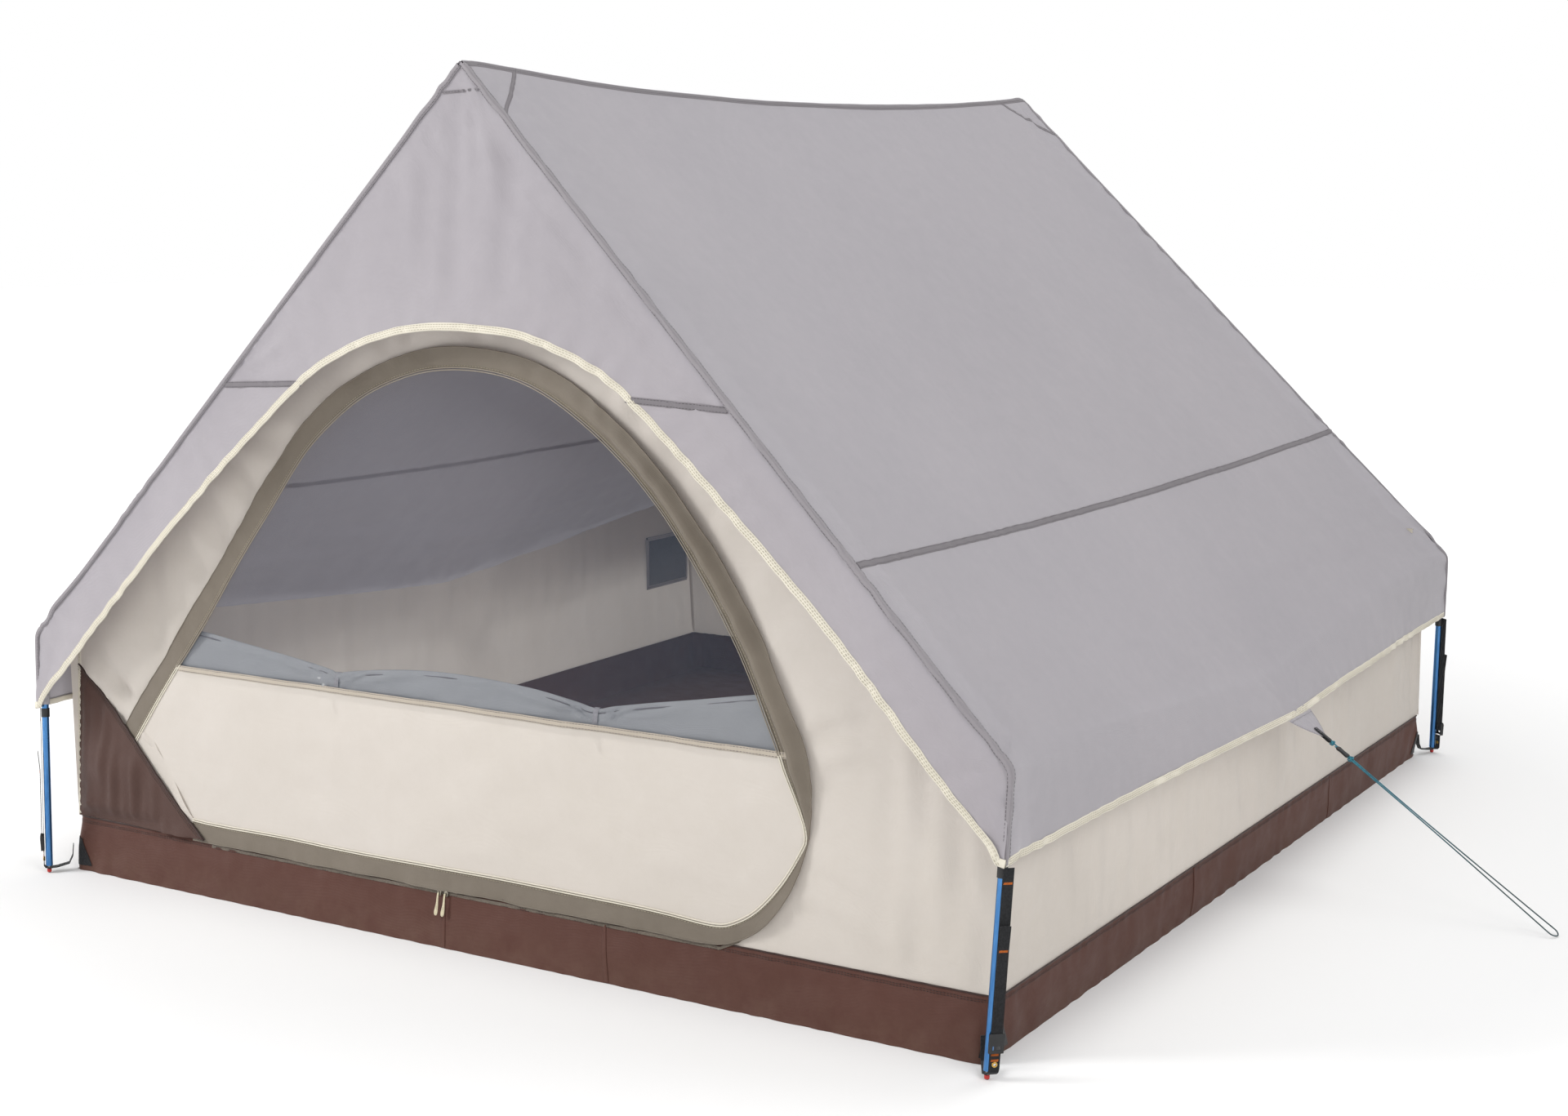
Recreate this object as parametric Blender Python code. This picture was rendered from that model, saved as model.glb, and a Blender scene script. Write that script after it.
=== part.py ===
"""Six-person A-frame camping tent with a side-opening D door, pitched.

Metres, +Z up.  The floor is z = 0, +X runs to the right across the front and
the front (door) end faces -Y.  Two inverted-V pole hoops lean towards each
other and are held apart by a ridge pole.  A two-panel roof fly hangs on the
hoops, a fabric body with a bathtub floor stands inside it.
"""
import bpy
import bmesh
import math
from mathutils import Vector
from mathutils.geometry import tessellate_polygon

for old in list(bpy.data.objects):
    bpy.data.objects.remove(old, do_unlink=True)

# ---------------------------------------------------------------- dimensions
FOOT_X = 1.2325            # pole foot, half span across the tent
FOOT_Y = 1.3735            # pole foot, half span along the tent
EAVE_X = 1.2530            # pole bend, half span across
EAVE_Y = 1.3315            # pole bend, half span along
EAVE_Z = 0.5604            # pole bend height
APEX_Y = 1.2495            # hoop top, half span along
APEX_Z = 1.8144            # hoop top height (pole axis)
RIDGE_Z = 1.7600           # ridge pole axis height
POLE_R = 0.0080
BORE_R = 0.0066
SPIGOT_R = 0.0062
SPIGOT_LEN = 0.045
ARM_LEN = 0.030            # length of an elbow or hub arm that shows
LEG_END_Z = 0.0165

FABRIC = 0.0025            # thickness of a fabric panel
GAP = 0.0004

ROOF_APEX_Z = 1.830        # outer face of the roof at the hoops
ROOF_EAVE = (1.2640, 0.565)
ROOF_HEM = (1.2580, 0.392)
ROOF_END_Y = 1.38073       # roof end line: y = ROOF_END_Y - ROOF_END_LEAN z
ROOF_END_LEAN = 0.0657
TAB_T = 0.037              # where the guy line pulls, as a fraction of length

TUB_BOTTOM = (1.2000, 1.3200)
TUB_TOP = (1.2125, 1.2920)
TUB_HEIGHT = 0.122
WALL_X = 1.2150
WALL_Y = 1.3000            # end wall: y = WALL_Y - WALL_LEAN z
WALL_LEAN = 0.0667
WALL_BASE = 0.1225
WALL_TOP_CUT = 1.744       # the end walls stop under the ridge pole
WALL_DROP = 0.0100         # top edge of the walls under the roof's outer face
RIDGE_X = 0.070            # half width of the flat cut at the ridge, about

FOLD_X = -0.7800           # line the door swings about
DOOR_IN = -0.0046          # door sheet: back face, measured from the wall
DOOR_OUT = -0.0068         # door sheet: outer face
FOLD_GAP = 0.0003          # the door's sheets stand this far off the fold line
WINDOW_Z = 0.510

# ----------------------------------------------------------------- materials


def material(name, rgb, rough, metal=0.0):
    mat = bpy.data.materials.new(name)
    mat.use_nodes = True
    bsdf = mat.node_tree.nodes["Principled BSDF"]
    bsdf.inputs["Base Color"].default_value = (rgb[0], rgb[1], rgb[2], 1.0)
    bsdf.inputs["Roughness"].default_value = rough
    bsdf.inputs["Metallic"].default_value = metal
    mat.diffuse_color = (rgb[0], rgb[1], rgb[2], 1.0)
    return mat


M_FLY = material("fly_fabric", (0.50, 0.47, 0.50), 0.75)
M_GABLE = material("gable_fabric", (0.45, 0.44, 0.47), 0.75)
M_WALL = material("wall_fabric", (0.72, 0.69, 0.61), 0.8)
M_TUB = material("floor_fabric", (0.13, 0.055, 0.04), 0.7)
M_STOW = material("stow_fabric", (0.10, 0.06, 0.045), 0.75)
M_BAND = material("band_fabric", (0.22, 0.19, 0.155), 0.75)
M_MESH = material("mesh_fabric", (0.10, 0.11, 0.14), 0.8)
M_FLAP = material("flap_fabric", (0.34, 0.34, 0.34), 0.8)
M_GEAR = material("pocket_fabric", (0.16, 0.18, 0.22), 0.8)
M_POLE = material("pole_metal", (0.10, 0.29, 0.52), 0.3, 0.9)
M_ELBOW = material("elbow_steel", (0.45, 0.46, 0.48), 0.35, 1.0)
M_PLASTIC = material("black_plastic", (0.02, 0.02, 0.02), 0.5)
M_WEB = material("black_webbing", (0.015, 0.015, 0.016), 0.8)
M_PIN = material("pin_steel", (0.5, 0.5, 0.52), 0.3, 1.0)
M_ZIP = material("zip_coil", (0.15, 0.13, 0.11), 0.6)
M_SLIDER = material("zip_metal", (0.35, 0.34, 0.32), 0.35, 1.0)
M_PULL = material("pull_cord", (0.72, 0.66, 0.52), 0.7)
M_CORD = material("guy_cord", (0.05, 0.27, 0.32), 0.7)

# ------------------------------------------------------------------- helpers


def add(name, verts, faces, mat, smooth=False):
    """One closed mesh object, faces turned outward."""
    mesh = bpy.data.meshes.new(name)
    mesh.from_pydata([tuple(v) for v in verts], [], faces)
    bm = bmesh.new()
    bm.from_mesh(mesh)
    bmesh.ops.remove_doubles(bm, verts=bm.verts, dist=0.00001)
    bmesh.ops.recalc_face_normals(bm, faces=bm.faces)
    bm.to_mesh(mesh)
    bm.free()
    mesh.materials.append(mat)
    obj = bpy.data.objects.new(name, mesh)
    bpy.context.scene.collection.objects.link(obj)
    if smooth:
        mesh.shade_smooth()
        mesh.set_sharp_from_angle(angle=math.radians(35))
    return obj


def plate(name, loops, place, near, far, mat):
    """Flat sheet with optional holes: 2-D loops pushed between two depths."""
    loops = [[Vector((p[0], p[1], 0.0)) for p in loop] for loop in loops]
    flat = [p for loop in loops for p in loop]
    tris = tessellate_polygon(loops)
    count = len(flat)
    verts = [place(p[0], p[1], near) for p in flat]
    verts += [place(p[0], p[1], far) for p in flat]
    faces = [tuple(t) for t in tris]
    faces += [tuple(count + i for i in reversed(t)) for t in tris]
    start = 0
    for loop in loops:
        n = len(loop)
        for i in range(n):
            a = start + i
            b = start + (i + 1) % n
            faces.append((a, b, count + b, count + a))
        start += n
    return add(name, verts, faces, mat)


def frame_for(direction, hint=(0.0, 0.0, 1.0)):
    """Two unit vectors square to a direction."""
    d = Vector(direction).normalized()
    side = d.cross(Vector(hint))
    if side.length < 0.01:
        side = d.cross(Vector((1.0, 0.0, 0.0)))
    side.normalize()
    return side, d.cross(side).normalized()


def turned(name, rings, count, mat, smooth=True, hint=(0.0, 1.0, 0.0)):
    """Round body from (centre, direction, radius) rings, capped at both ends."""
    verts = []
    faces = []
    for centre, direction, radius in rings:
        side, up = frame_for(direction, hint)
        for i in range(count):
            a = 2.0 * math.pi * i / count
            verts.append(Vector(centre) + radius * (math.cos(a) * side + math.sin(a) * up))
    for k in range(len(rings) - 1):
        for i in range(count):
            j = (i + 1) % count
            base = k * count
            faces.append((base + i, base + j, base + count + j, base + count + i))
    faces.append(tuple(reversed(range(count))))
    last = (len(rings) - 1) * count
    faces.append(tuple(range(last, last + count)))
    return add(name, verts, faces, mat, smooth)


def strip(name, centres, tangents, width, thick, mat, across):
    """Flat webbing: a rectangle swept along a path; 'across' is its width axis."""
    verts = []
    faces = []
    w = Vector(across).normalized() * (width * 0.5)
    for centre, tangent in zip(centres, tangents):
        n = Vector(tangent).normalized().cross(w.normalized()) * (thick * 0.5)
        c = Vector(centre)
        verts += [c - w - n, c + w - n, c + w + n, c - w + n]
    for k in range(len(centres) - 1):
        for i in range(4):
            j = (i + 1) % 4
            faces.append((4 * k + i, 4 * k + j, 4 * k + 4 + j, 4 * k + 4 + i))
    faces.append((3, 2, 1, 0))
    end = 4 * (len(centres) - 1)
    faces.append((end, end + 1, end + 2, end + 3))
    return add(name, verts, faces, mat)


def box_mesh(name, low, high, mat):
    xs = (low[0], high[0])
    ys = (low[1], high[1])
    zs = (low[2], high[2])
    verts = [(x, y, z) for x in xs for y in ys for z in zs]
    faces = [(0, 1, 3, 2), (4, 6, 7, 5), (0, 4, 5, 1), (2, 3, 7, 6), (0, 2, 6, 4), (1, 5, 7, 3)]
    return add(name, verts, faces, mat)


def boolean(target, tool, operation):
    """Apply a Boolean and drop the tool."""
    mod = target.modifiers.new("op", "BOOLEAN")
    mod.operation = operation
    mod.solver = "EXACT"
    mod.object = tool
    graph = bpy.context.evaluated_depsgraph_get()
    mesh = bpy.data.meshes.new_from_object(target.evaluated_get(graph))
    target.modifiers.clear()
    target.data = mesh
    bpy.data.objects.remove(tool, do_unlink=True)
    return target


def parent_to(child, owner):
    bpy.context.view_layer.update()
    child.parent = owner
    child.matrix_parent_inverse = owner.matrix_world.inverted()


def move_origin(obj, point):
    """Put an object's origin at a world point without moving its surface."""
    shift = Vector(point) - obj.location
    for v in obj.data.vertices:
        v.co -= shift
    obj.location = Vector(point)


def bent_path(start, corner, end, radius, steps):
    """Points and directions round one rounded bend, without its end points."""
    a = (Vector(start) - Vector(corner)).normalized()
    b = (Vector(end) - Vector(corner)).normalized()
    half = 0.5 * a.angle(b)
    run = radius / math.tan(half)
    centre = Vector(corner) + (a + b).normalized() * (radius / math.sin(half))
    first = Vector(corner) + a * run - centre
    last = Vector(corner) + b * run - centre
    sweep = first.angle(last)
    points = []
    for i in range(steps + 1):
        t = i / steps
        arm = (math.sin((1 - t) * sweep) * first + math.sin(t * sweep) * last) / math.sin(sweep)
        points.append(centre + arm)
    ways = []
    for i in range(steps + 1):
        t = i / steps
        ways.append(((1 - t) * (-a) + t * b).normalized())
    return points, ways


# ------------------------------------------------------------------- the poles
STRAP_SHIFT = (0.0138, 0.0030)   # strap centre from the leg axis, outward across and along
STRAP_NORMAL = (0.64, 0.77)      # the way the strap faces, across and along
STRAP_W = 0.020
STRAP_T = 0.0012
STRAP_LANE = 0.0042              # from the strap's first layer to its doubled-back tail
STRAP_TOP = 0.3880
LOCK_Z = 0.070                   # middle bar of the ladder lock
LOCK_WALL = 0.0028               # side wall of the ladder lock
TAIL_TOP = 0.285
PIN_HOLE_R = 0.0054              # grommet in the corner tab, round the foot pin
EYELET_R = 0.0030
CLIP_LOW, CLIP_TOP = 0.3680, 0.3885

def corner_axes(side, end):
    """Way a corner's webbing faces, its shift from the leg axis, and its width axis."""
    face = Vector((side * STRAP_NORMAL[0], end * STRAP_NORMAL[1], 0.0)).normalized()
    shift = Vector((side * STRAP_SHIFT[0], end * STRAP_SHIFT[1], 0.0))
    return face, shift, Vector((-face.y, face.x, 0.0))


def make_leg(tag, foot, eave, up):
    low = foot + up * (LEG_END_Z / up.z)
    top = eave - up * (ARM_LEN + GAP)
    rings = [
        (low + up * 0.030, up, BORE_R),
        (low, up, BORE_R),
        (low, up, POLE_R),
        (top, up, POLE_R),
        (top, up, BORE_R),
        (top - up * (SPIGOT_LEN + 0.002), up, BORE_R),
    ]
    turned(tag + "leg", rings, 24, M_POLE)
    pin = [
        (low + up * 0.028, up, SPIGOT_R),
        (low + up * 0.0004, up, SPIGOT_R),
        (low - up * 0.0010, up, 0.0042),
        (Vector((foot.x, foot.y, 0.0015)), Vector((0, 0, 1)), 0.0042),
        (Vector((foot.x, foot.y, 0.0)), Vector((0, 0, 1)), 0.0034),
    ]
    turned(tag + "foot_pin", pin, 16, M_PIN)


def make_elbow(tag, eave, up, over):
    start = eave - up * ARM_LEN
    end = eave + over * ARM_LEN
    bend, ways = bent_path(start, eave, end, 0.045, 4)
    rings = [
        (start - up * SPIGOT_LEN, up, SPIGOT_R),
        (start, up, SPIGOT_R),
        (start, up, POLE_R),
    ]
    rings += [(p, w, POLE_R) for p, w in zip(bend, ways)]
    rings += [
        (end, over, POLE_R),
        (end, over, SPIGOT_R),
        (end + over * SPIGOT_LEN, over, SPIGOT_R),
    ]
    turned(tag + "elbow", rings, 16, M_ELBOW)


def make_rafter(tag, eave, apex, over):
    low = eave + over * (ARM_LEN + GAP)
    top = apex - over * (ARM_LEN + GAP)
    rings = [
        (low + over * (SPIGOT_LEN + 0.002), over, BORE_R),
        (low, over, BORE_R),
        (low, over, POLE_R),
        (top, over, POLE_R),
        (top, over, BORE_R),
        (top - over * (SPIGOT_LEN + 0.002), over, BORE_R),
    ]
    turned(tag + "rafter", rings, 20, M_POLE)


def make_strap(tag, side, end, foot, up):
    """Tension strap: down from the fly corner, round the lock bar, tail back up."""
    face, shift, along = corner_axes(side, end)
    base = foot + shift

    def at(z, out):
        return base + up * (z / up.z) + face * out

    lane = STRAP_LANE
    mid = LOCK_Z - 0.0022
    centres = [at(STRAP_TOP, 0.0), at(mid, 0.0)]
    tangents = [-up, -up]
    for i in range(1, 6):
        a = math.pi * i / 6
        out = 0.5 * lane * (1.0 - math.cos(a))
        centres.append(at(mid - 0.5 * lane * math.sin(a), out))
        tangents.append(face * math.sin(a) - up * math.cos(a))
    centres += [at(mid, lane), at(TAIL_TOP - 0.045, lane), at(TAIL_TOP, lane + 0.004)]
    tangents += [up, up, up]
    strip(tag + "tension_strap", centres, tangents, STRAP_W, STRAP_T, M_WEB, along)

    # Ladder lock: a frame round both layers of the strap.
    half = 0.5 * STRAP_W + 0.0006
    outer = half + LOCK_WALL
    near = -0.0012
    far = lane + 0.0042
    profile = [
        (-0.017, near),
        (-0.010, near - 0.0004),
        (0.017, near),
        (0.019, lane + 0.0022),
        (0.012, far),
        (-0.006, far - 0.0012),
        (-0.017, far - 0.0016),
    ]
    verts = []
    for w in (-outer, outer):
        for h, o in profile:
            verts.append(at(LOCK_Z + h, o) + along * w)
    n = len(profile)
    faces = [tuple(range(n)), tuple(reversed(range(n, 2 * n)))]
    faces += [(i, n + i, n + (i + 1) % n, (i + 1) % n) for i in range(n)]
    lock = add(tag + "ladder_lock", verts, faces, M_PLASTIC)

    def cutter(h0, h1, o0, o1, w):
        corners = []
        for s in (-w, w):
            for h, o in ((h0, o0), (h1, o0), (h1, o1), (h0, o1)):
                corners.append(at(LOCK_Z + h, o) + along * s)
        quads = [(0, 1, 2, 3), (7, 6, 5, 4), (0, 4, 5, 1), (1, 5, 6, 2), (2, 6, 7, 3), (3, 7, 4, 0)]
        return add("cutter", corners, quads, M_PLASTIC)

    # Both lanes and the room below the middle bar are open, so the lock runs up the strap.
    room = STRAP_T
    reach = 0.030
    boolean(lock, cutter(-reach, reach, -0.004, room, half), "DIFFERENCE")
    boolean(lock, cutter(-reach, reach, lane - room, lane + room, half), "DIFFERENCE")
    boolean(lock, cutter(-reach, -0.0014, -0.004, lane + room, half), "DIFFERENCE")
    boolean(lock, cutter(-0.0110, -0.0030, lane, 0.012, half - 0.003), "DIFFERENCE")
    move_origin(lock, (base.x, end * (FOOT_Y - 0.0022), LOCK_Z))


def make_corner_tab(tag, side, end, foot, up):
    """Webbing from the tub corner, under the leg, up to the ladder lock."""
    face, shift, along = corner_axes(side, end)
    rise = foot + shift + face * 0.0002
    tub = Vector((side * (TUB_BOTTOM[0] + 0.006), end * (TUB_BOTTOM[1] + 0.006), 0.0))
    inward = (tub - foot).normalized()
    up_z = Vector((0, 0, 1))
    centres = [
        tub + inward * 0.004 + up_z * 0.060,
        tub + inward * 0.001 + up_z * 0.034,
        tub - inward * 0.008 + up_z * 0.0165,
        foot + inward * 0.020 + up_z * 0.0120,
        foot + up_z * 0.0118,
        foot + (rise - foot) * 0.70 + up_z * 0.0122,
        rise + up_z * 0.0165,
        rise + up * 0.0225,
        rise + up * 0.0525,
    ]
    tangents = []
    for i in range(len(centres)):
        before = centres[max(i - 1, 0)]
        after = centres[min(i + 1, len(centres) - 1)]
        tangents.append((after - before).normalized())
    tab = strip(tag + "corner_tab", centres, tangents, STRAP_W - 0.001, 0.0016, M_WEB, along)
    pin_hole = [(foot + up * 0.004, up, PIN_HOLE_R), (foot + up * 0.0162, up, PIN_HOLE_R)]
    boolean(tab, turned("cutter", pin_hole, 12, M_WEB, False), "DIFFERENCE")
    eye = rise + up * 0.031
    eyelet = [(eye - face * 0.006, face, EYELET_R), (eye + face * 0.006, face, EYELET_R)]
    boolean(tab, turned("cutter", eyelet, 12, M_WEB, False), "DIFFERENCE")


def make_clip(tag, foot, up):
    """Band that holds the fly corner to the leg."""
    low = foot + up * (CLIP_LOW / up.z)
    top = foot + up * (CLIP_TOP / up.z)
    rings = [
        (low, up, POLE_R + GAP),
        (low, up, POLE_R + 0.0016),
        (top, up, POLE_R + 0.0016),
        (top, up, POLE_R + GAP),
    ]
    verts = []
    faces = []
    count = 20
    for centre, way, radius in rings:
        s, u = frame_for(way, (0.0, 1.0, 0.0))
        for i in range(count):
            a = 2.0 * math.pi * i / count
            verts.append(centre + radius * (math.cos(a) * s + math.sin(a) * u))
    for k in range(4):
        m = (k + 1) % 4
        for i in range(count):
            j = (i + 1) % count
            faces.append((k * count + i, k * count + j, m * count + j, m * count + i))
    add(tag + "pole_clip", verts, faces, M_WEB, True)


def make_hub(end_name, end, apex, arms):
    """Apex hub: a bent arm across the hoop with a socket for the ridge pole."""
    left = apex - arms[0] * ARM_LEN
    right = apex - arms[1] * ARM_LEN
    bend, ways = bent_path(left, apex, right, 0.022, 6)
    rings = [
        (left - arms[0] * SPIGOT_LEN, arms[0], SPIGOT_R),
        (left, arms[0], SPIGOT_R),
        (left, arms[0], POLE_R),
    ]
    rings += [(p, w, POLE_R) for p, w in zip(bend, ways)]
    rings += [
        (right, -arms[1], POLE_R),
        (right, -arms[1], SPIGOT_R),
        (right - arms[1] * SPIGOT_LEN, -arms[1], SPIGOT_R),
    ]
    hub = turned(end_name + "_apex_hub", rings, 16, M_PLASTIC, True)
    y_out = end * (APEX_Y + 0.0072)
    y_web = end * (APEX_Y - 0.0060)
    y_mouth = end * (APEX_Y - 0.0520)
    web = box_mesh(
        "cutter",
        (-0.0070, min(y_out, y_web), RIDGE_Z),
        (0.0070, max(y_out, y_web), APEX_Z - 0.0020),
        M_PLASTIC,
    )
    boolean(hub, web, "UNION")
    way = Vector((0, 1, 0))
    out = turned(
        "cutter",
        [((0, y_out, RIDGE_Z), way, 0.0115), ((0, y_mouth, RIDGE_Z), way, 0.0115)],
        20,
        M_PLASTIC,
        True,
        (0.0, 0.0, 1.0),
    )
    boolean(hub, out, "UNION")
    bore = turned(
        "cutter",
        [
            ((0, end * (APEX_Y - 0.0080), RIDGE_Z), way, POLE_R + 0.0004),
            ((0, end * (APEX_Y - 0.0700), RIDGE_Z), way, POLE_R + 0.0004),
        ],
        20,
        M_PLASTIC,
        True,
        (0.0, 0.0, 1.0),
    )
    boolean(hub, bore, "DIFFERENCE")
    hub.data.set_sharp_from_angle(angle=math.radians(35))


for end_name, end in (("front", -1), ("rear", 1)):
    apex = Vector((0.0, end * APEX_Y, APEX_Z))
    arms = []
    for side_name, side in (("left", -1), ("right", 1)):
        tag = end_name + "_" + side_name + "_"
        foot = Vector((side * FOOT_X, end * FOOT_Y, 0.0))
        eave = Vector((side * EAVE_X, end * EAVE_Y, EAVE_Z))
        up = (eave - foot).normalized()
        over = (apex - eave).normalized()
        arms.append(over)
        make_leg(tag, foot, eave, up)
        make_elbow(tag, eave, up, over)
        make_rafter(tag, eave, apex, over)
        make_strap(tag, side, end, foot, up)
        make_corner_tab(tag, side, end, foot, up)
        make_clip(tag, foot, up)
    make_hub(end_name, end, apex, arms)

ridge_way = Vector((0.0, 1.0, 0.0))
RIDGE_END = APEX_Y - 0.0084
turned(
    "ridge_pole_front",
    [
        ((0, -RIDGE_END, RIDGE_Z), ridge_way, POLE_R),
        ((0, 0.0, RIDGE_Z), ridge_way, POLE_R),
        ((0, 0.0, RIDGE_Z), ridge_way, SPIGOT_R),
        ((0, SPIGOT_LEN, RIDGE_Z), ridge_way, SPIGOT_R),
    ],
    20,
    M_POLE,
    True,
    (0.0, 0.0, 1.0),
)
turned(
    "ridge_pole_rear",
    [
        ((0, SPIGOT_LEN + 0.002, RIDGE_Z), ridge_way, BORE_R),
        ((0, GAP, RIDGE_Z), ridge_way, BORE_R),
        ((0, GAP, RIDGE_Z), ridge_way, POLE_R),
        ((0, RIDGE_END, RIDGE_Z), ridge_way, POLE_R),
    ],
    20,
    M_POLE,
    True,
    (0.0, 0.0, 1.0),
)

# ------------------------------------------------------------------- the fly
# Rows run from the ridge down to the hem: hoop profile and mid-length profile.
HOOP_ROWS = [
    (0.000, 1.8300),
    (0.3160, 1.5138),
    (0.6320, 1.1975),
    (0.9340, 0.8953),
    (1.1200, 0.7091),
    (1.2640, 0.5650),
    (1.2615, 0.4800),
    (1.2580, 0.3920),
]
MID_ROWS = [
    (0.0004, 1.7830),
    (0.2980, 1.4760),
    (0.6000, 1.1690),
    (0.9050, 0.8650),
    (1.0820, 0.6520),
    (1.1960, 0.5140),
    (1.2500, 0.4490),
    (1.3030, 0.3850),
]
PULL = [0.0, 0.0, 0.0, 0.0, 0.15, 0.45, 0.80, 1.0]
POLE_T = 0.974             # the fabric lies flat on the hoop outside this fraction
LENGTH_STEPS = [-1.0, -POLE_T, -0.82, -0.6, -0.35, -0.15, TAB_T, 0.22, 0.42, 0.65, 0.83, POLE_T, 1.0]


def roof_point(row, t):
    """Outer face of the right-hand roof at a row and a fraction of the length."""
    flat = max(-1.0, min(1.0, t / POLE_T))
    tau = (flat - TAB_T) / (1.0 - TAB_T) if flat > TAB_T else (TAB_T - flat) / (1.0 + TAB_T)
    even = flat * flat
    peaked = 1.64 * tau - 0.64 * tau * tau
    share = 1.0 - ((1.0 - PULL[row]) * even + PULL[row] * peaked)
    hoop = HOOP_ROWS[row]
    mid = MID_ROWS[row]
    x = max(hoop[0] + (mid[0] - hoop[0]) * share, GAP)
    z = hoop[1] + (mid[1] - hoop[1]) * share
    y = t * (ROOF_END_Y - ROOF_END_LEAN * hoop[1])
    return Vector((x, y, z))


def roof_height(x, y):
    """Height of the roof's outer face over a point, found row by row."""
    for row in range(len(HOOP_ROWS) - 1):
        limit = ROOF_END_Y - ROOF_END_LEAN * HOOP_ROWS[row][1]
        t = max(-1.0, min(1.0, y / limit))
        a = roof_point(row, t)
        b = roof_point(row + 1, t)
        if a.x <= x <= b.x:
            return a.z + (b.z - a.z) * (x - a.x) / max(b.x - a.x, 1e-9)
    return None


def t_mid(c):
    return 0.5 * (LENGTH_STEPS[c] + LENGTH_STEPS[c + 1])


def make_roof(name, side):
    rows = len(HOOP_ROWS)
    cols = len(LENGTH_STEPS)
    grid = [[roof_point(r, t) for t in LENGTH_STEPS] for r in range(rows)]
    verts = []
    for r in range(rows):
        for c in range(cols):
            verts.append(grid[r][c])
    for r in range(rows):
        for c in range(cols):
            a = grid[max(r - 1, 0)][c]
            b = grid[min(r + 1, rows - 1)][c]
            fall = b - a
            inward = Vector((-abs(fall.z), 0.0, -abs(fall.x))).normalized()
            scale = 1.0
            if r == 0:
                inward = Vector((0.0, 0.0, -1.0))
                scale = 1.414
            if r >= rows - 2:
                inward = Vector((-1.0, 0.0, 0.0))
            if r == rows - 3:
                inward = Vector((-1.0, 0.0, -0.40))
            verts.append(grid[r][c] + inward * FABRIC * scale)
    half = rows * cols
    faces = []
    for r in range(rows - 1):
        for c in range(cols - 1):
            a = r * cols + c
            b = a + 1
            d = a + cols
            e = d + 1
            cut = [(a, b, e), (a, e, d)] if t_mid(c) > TAB_T else [(a, b, d), (b, e, d)]
            faces += cut
            faces += [tuple(half + i for i in reversed(f)) for f in cut]
    for c in range(cols - 1):
        faces.append((c, c + 1, half + c + 1, half + c))
        k = (rows - 1) * cols + c
        faces.append((k + 1, k, half + k, half + k + 1))
    for r in range(rows - 1):
        k = r * cols
        faces.append((k + cols, k, half + k, half + k + cols))
        k = r * cols + cols - 1
        faces.append((k, k + cols, half + k + cols, half + k))
    verts = [Vector((side * v.x, v.y, v.z)) for v in verts]
    return add(name, verts, faces, M_FLY, True)


make_roof("fly_left_roof", -1)
make_roof("fly_right_roof", 1)

# End flaps of the fly hang on the hoops; the doorway arch is cut out of them.
ARCH = [
    (0.000, 1.298), (0.110, 1.293), (0.180, 1.281), (0.275, 1.252), (0.370, 1.208),
    (0.465, 1.140), (0.574, 1.050), (0.685, 0.953), (0.810, 0.838), (0.920, 0.731),
    (1.030, 0.619), (1.135, 0.510), (1.215, 0.432), (1.240, 0.394),
]
UNDER = FABRIC + 0.0009
gable_outer = [
    (ROOF_HEM[0] - UNDER, 0.394),
    (ROOF_EAVE[0] - UNDER, ROOF_EAVE[1] - UNDER * 0.42),
    (0.004, 1.8260 - UNDER * 1.42),
    (-0.004, 1.8260 - UNDER * 1.42),
    (-ROOF_EAVE[0] + UNDER, ROOF_EAVE[1] - UNDER * 0.42),
    (-ROOF_HEM[0] + UNDER, 0.394),
]
arch_loop = [(-x, z) for x, z in reversed(ARCH[1:])] + list(ARCH)


def on_front_gable(x, z, d):
    return Vector((x, -(ROOF_END_Y - ROOF_END_LEAN * z) + d, z))


def on_rear_gable(x, z, d):
    return Vector((x, (ROOF_END_Y - ROOF_END_LEAN * z) - d, z))


gable_loop = gable_outer + arch_loop
plate("fly_front_gable", [gable_loop], on_front_gable, 0.0, FABRIC, M_GABLE)
plate("fly_rear_gable", [gable_loop], on_rear_gable, 0.0, FABRIC, M_GABLE)

# ------------------------------------------------------------ the tent body


def ring_at(half_x, half_y, z):
    return [
        Vector((-half_x, -half_y, z)),
        Vector((half_x, -half_y, z)),
        Vector((half_x, half_y, z)),
        Vector((-half_x, half_y, z)),
    ]


tub_rings = [
    ring_at(TUB_BOTTOM[0], TUB_BOTTOM[1], 0.0),
    ring_at(TUB_TOP[0], TUB_TOP[1], TUB_HEIGHT),
    ring_at(TUB_TOP[0] - FABRIC, TUB_TOP[1] - FABRIC, TUB_HEIGHT),
    ring_at(TUB_BOTTOM[0] - FABRIC, TUB_BOTTOM[1] - FABRIC, FABRIC),
]
tub_verts = [v for ring in tub_rings for v in ring]
tub_faces = [(3, 2, 1, 0), (12, 13, 14, 15)]
for level in range(3):
    for i in range(4):
        j = (i + 1) % 4
        a = level * 4
        tub_faces.append((a + i, a + j, a + 4 + j, a + 4 + i))
add("floor_tub", tub_verts, tub_faces, M_TUB)


def on_front_wall(x, z, d):
    return Vector((x, -(WALL_Y - WALL_LEAN * z) + d, z))


def on_rear_wall(x, z, d):
    return Vector((x, (WALL_Y - WALL_LEAN * z) - d, z))


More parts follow.
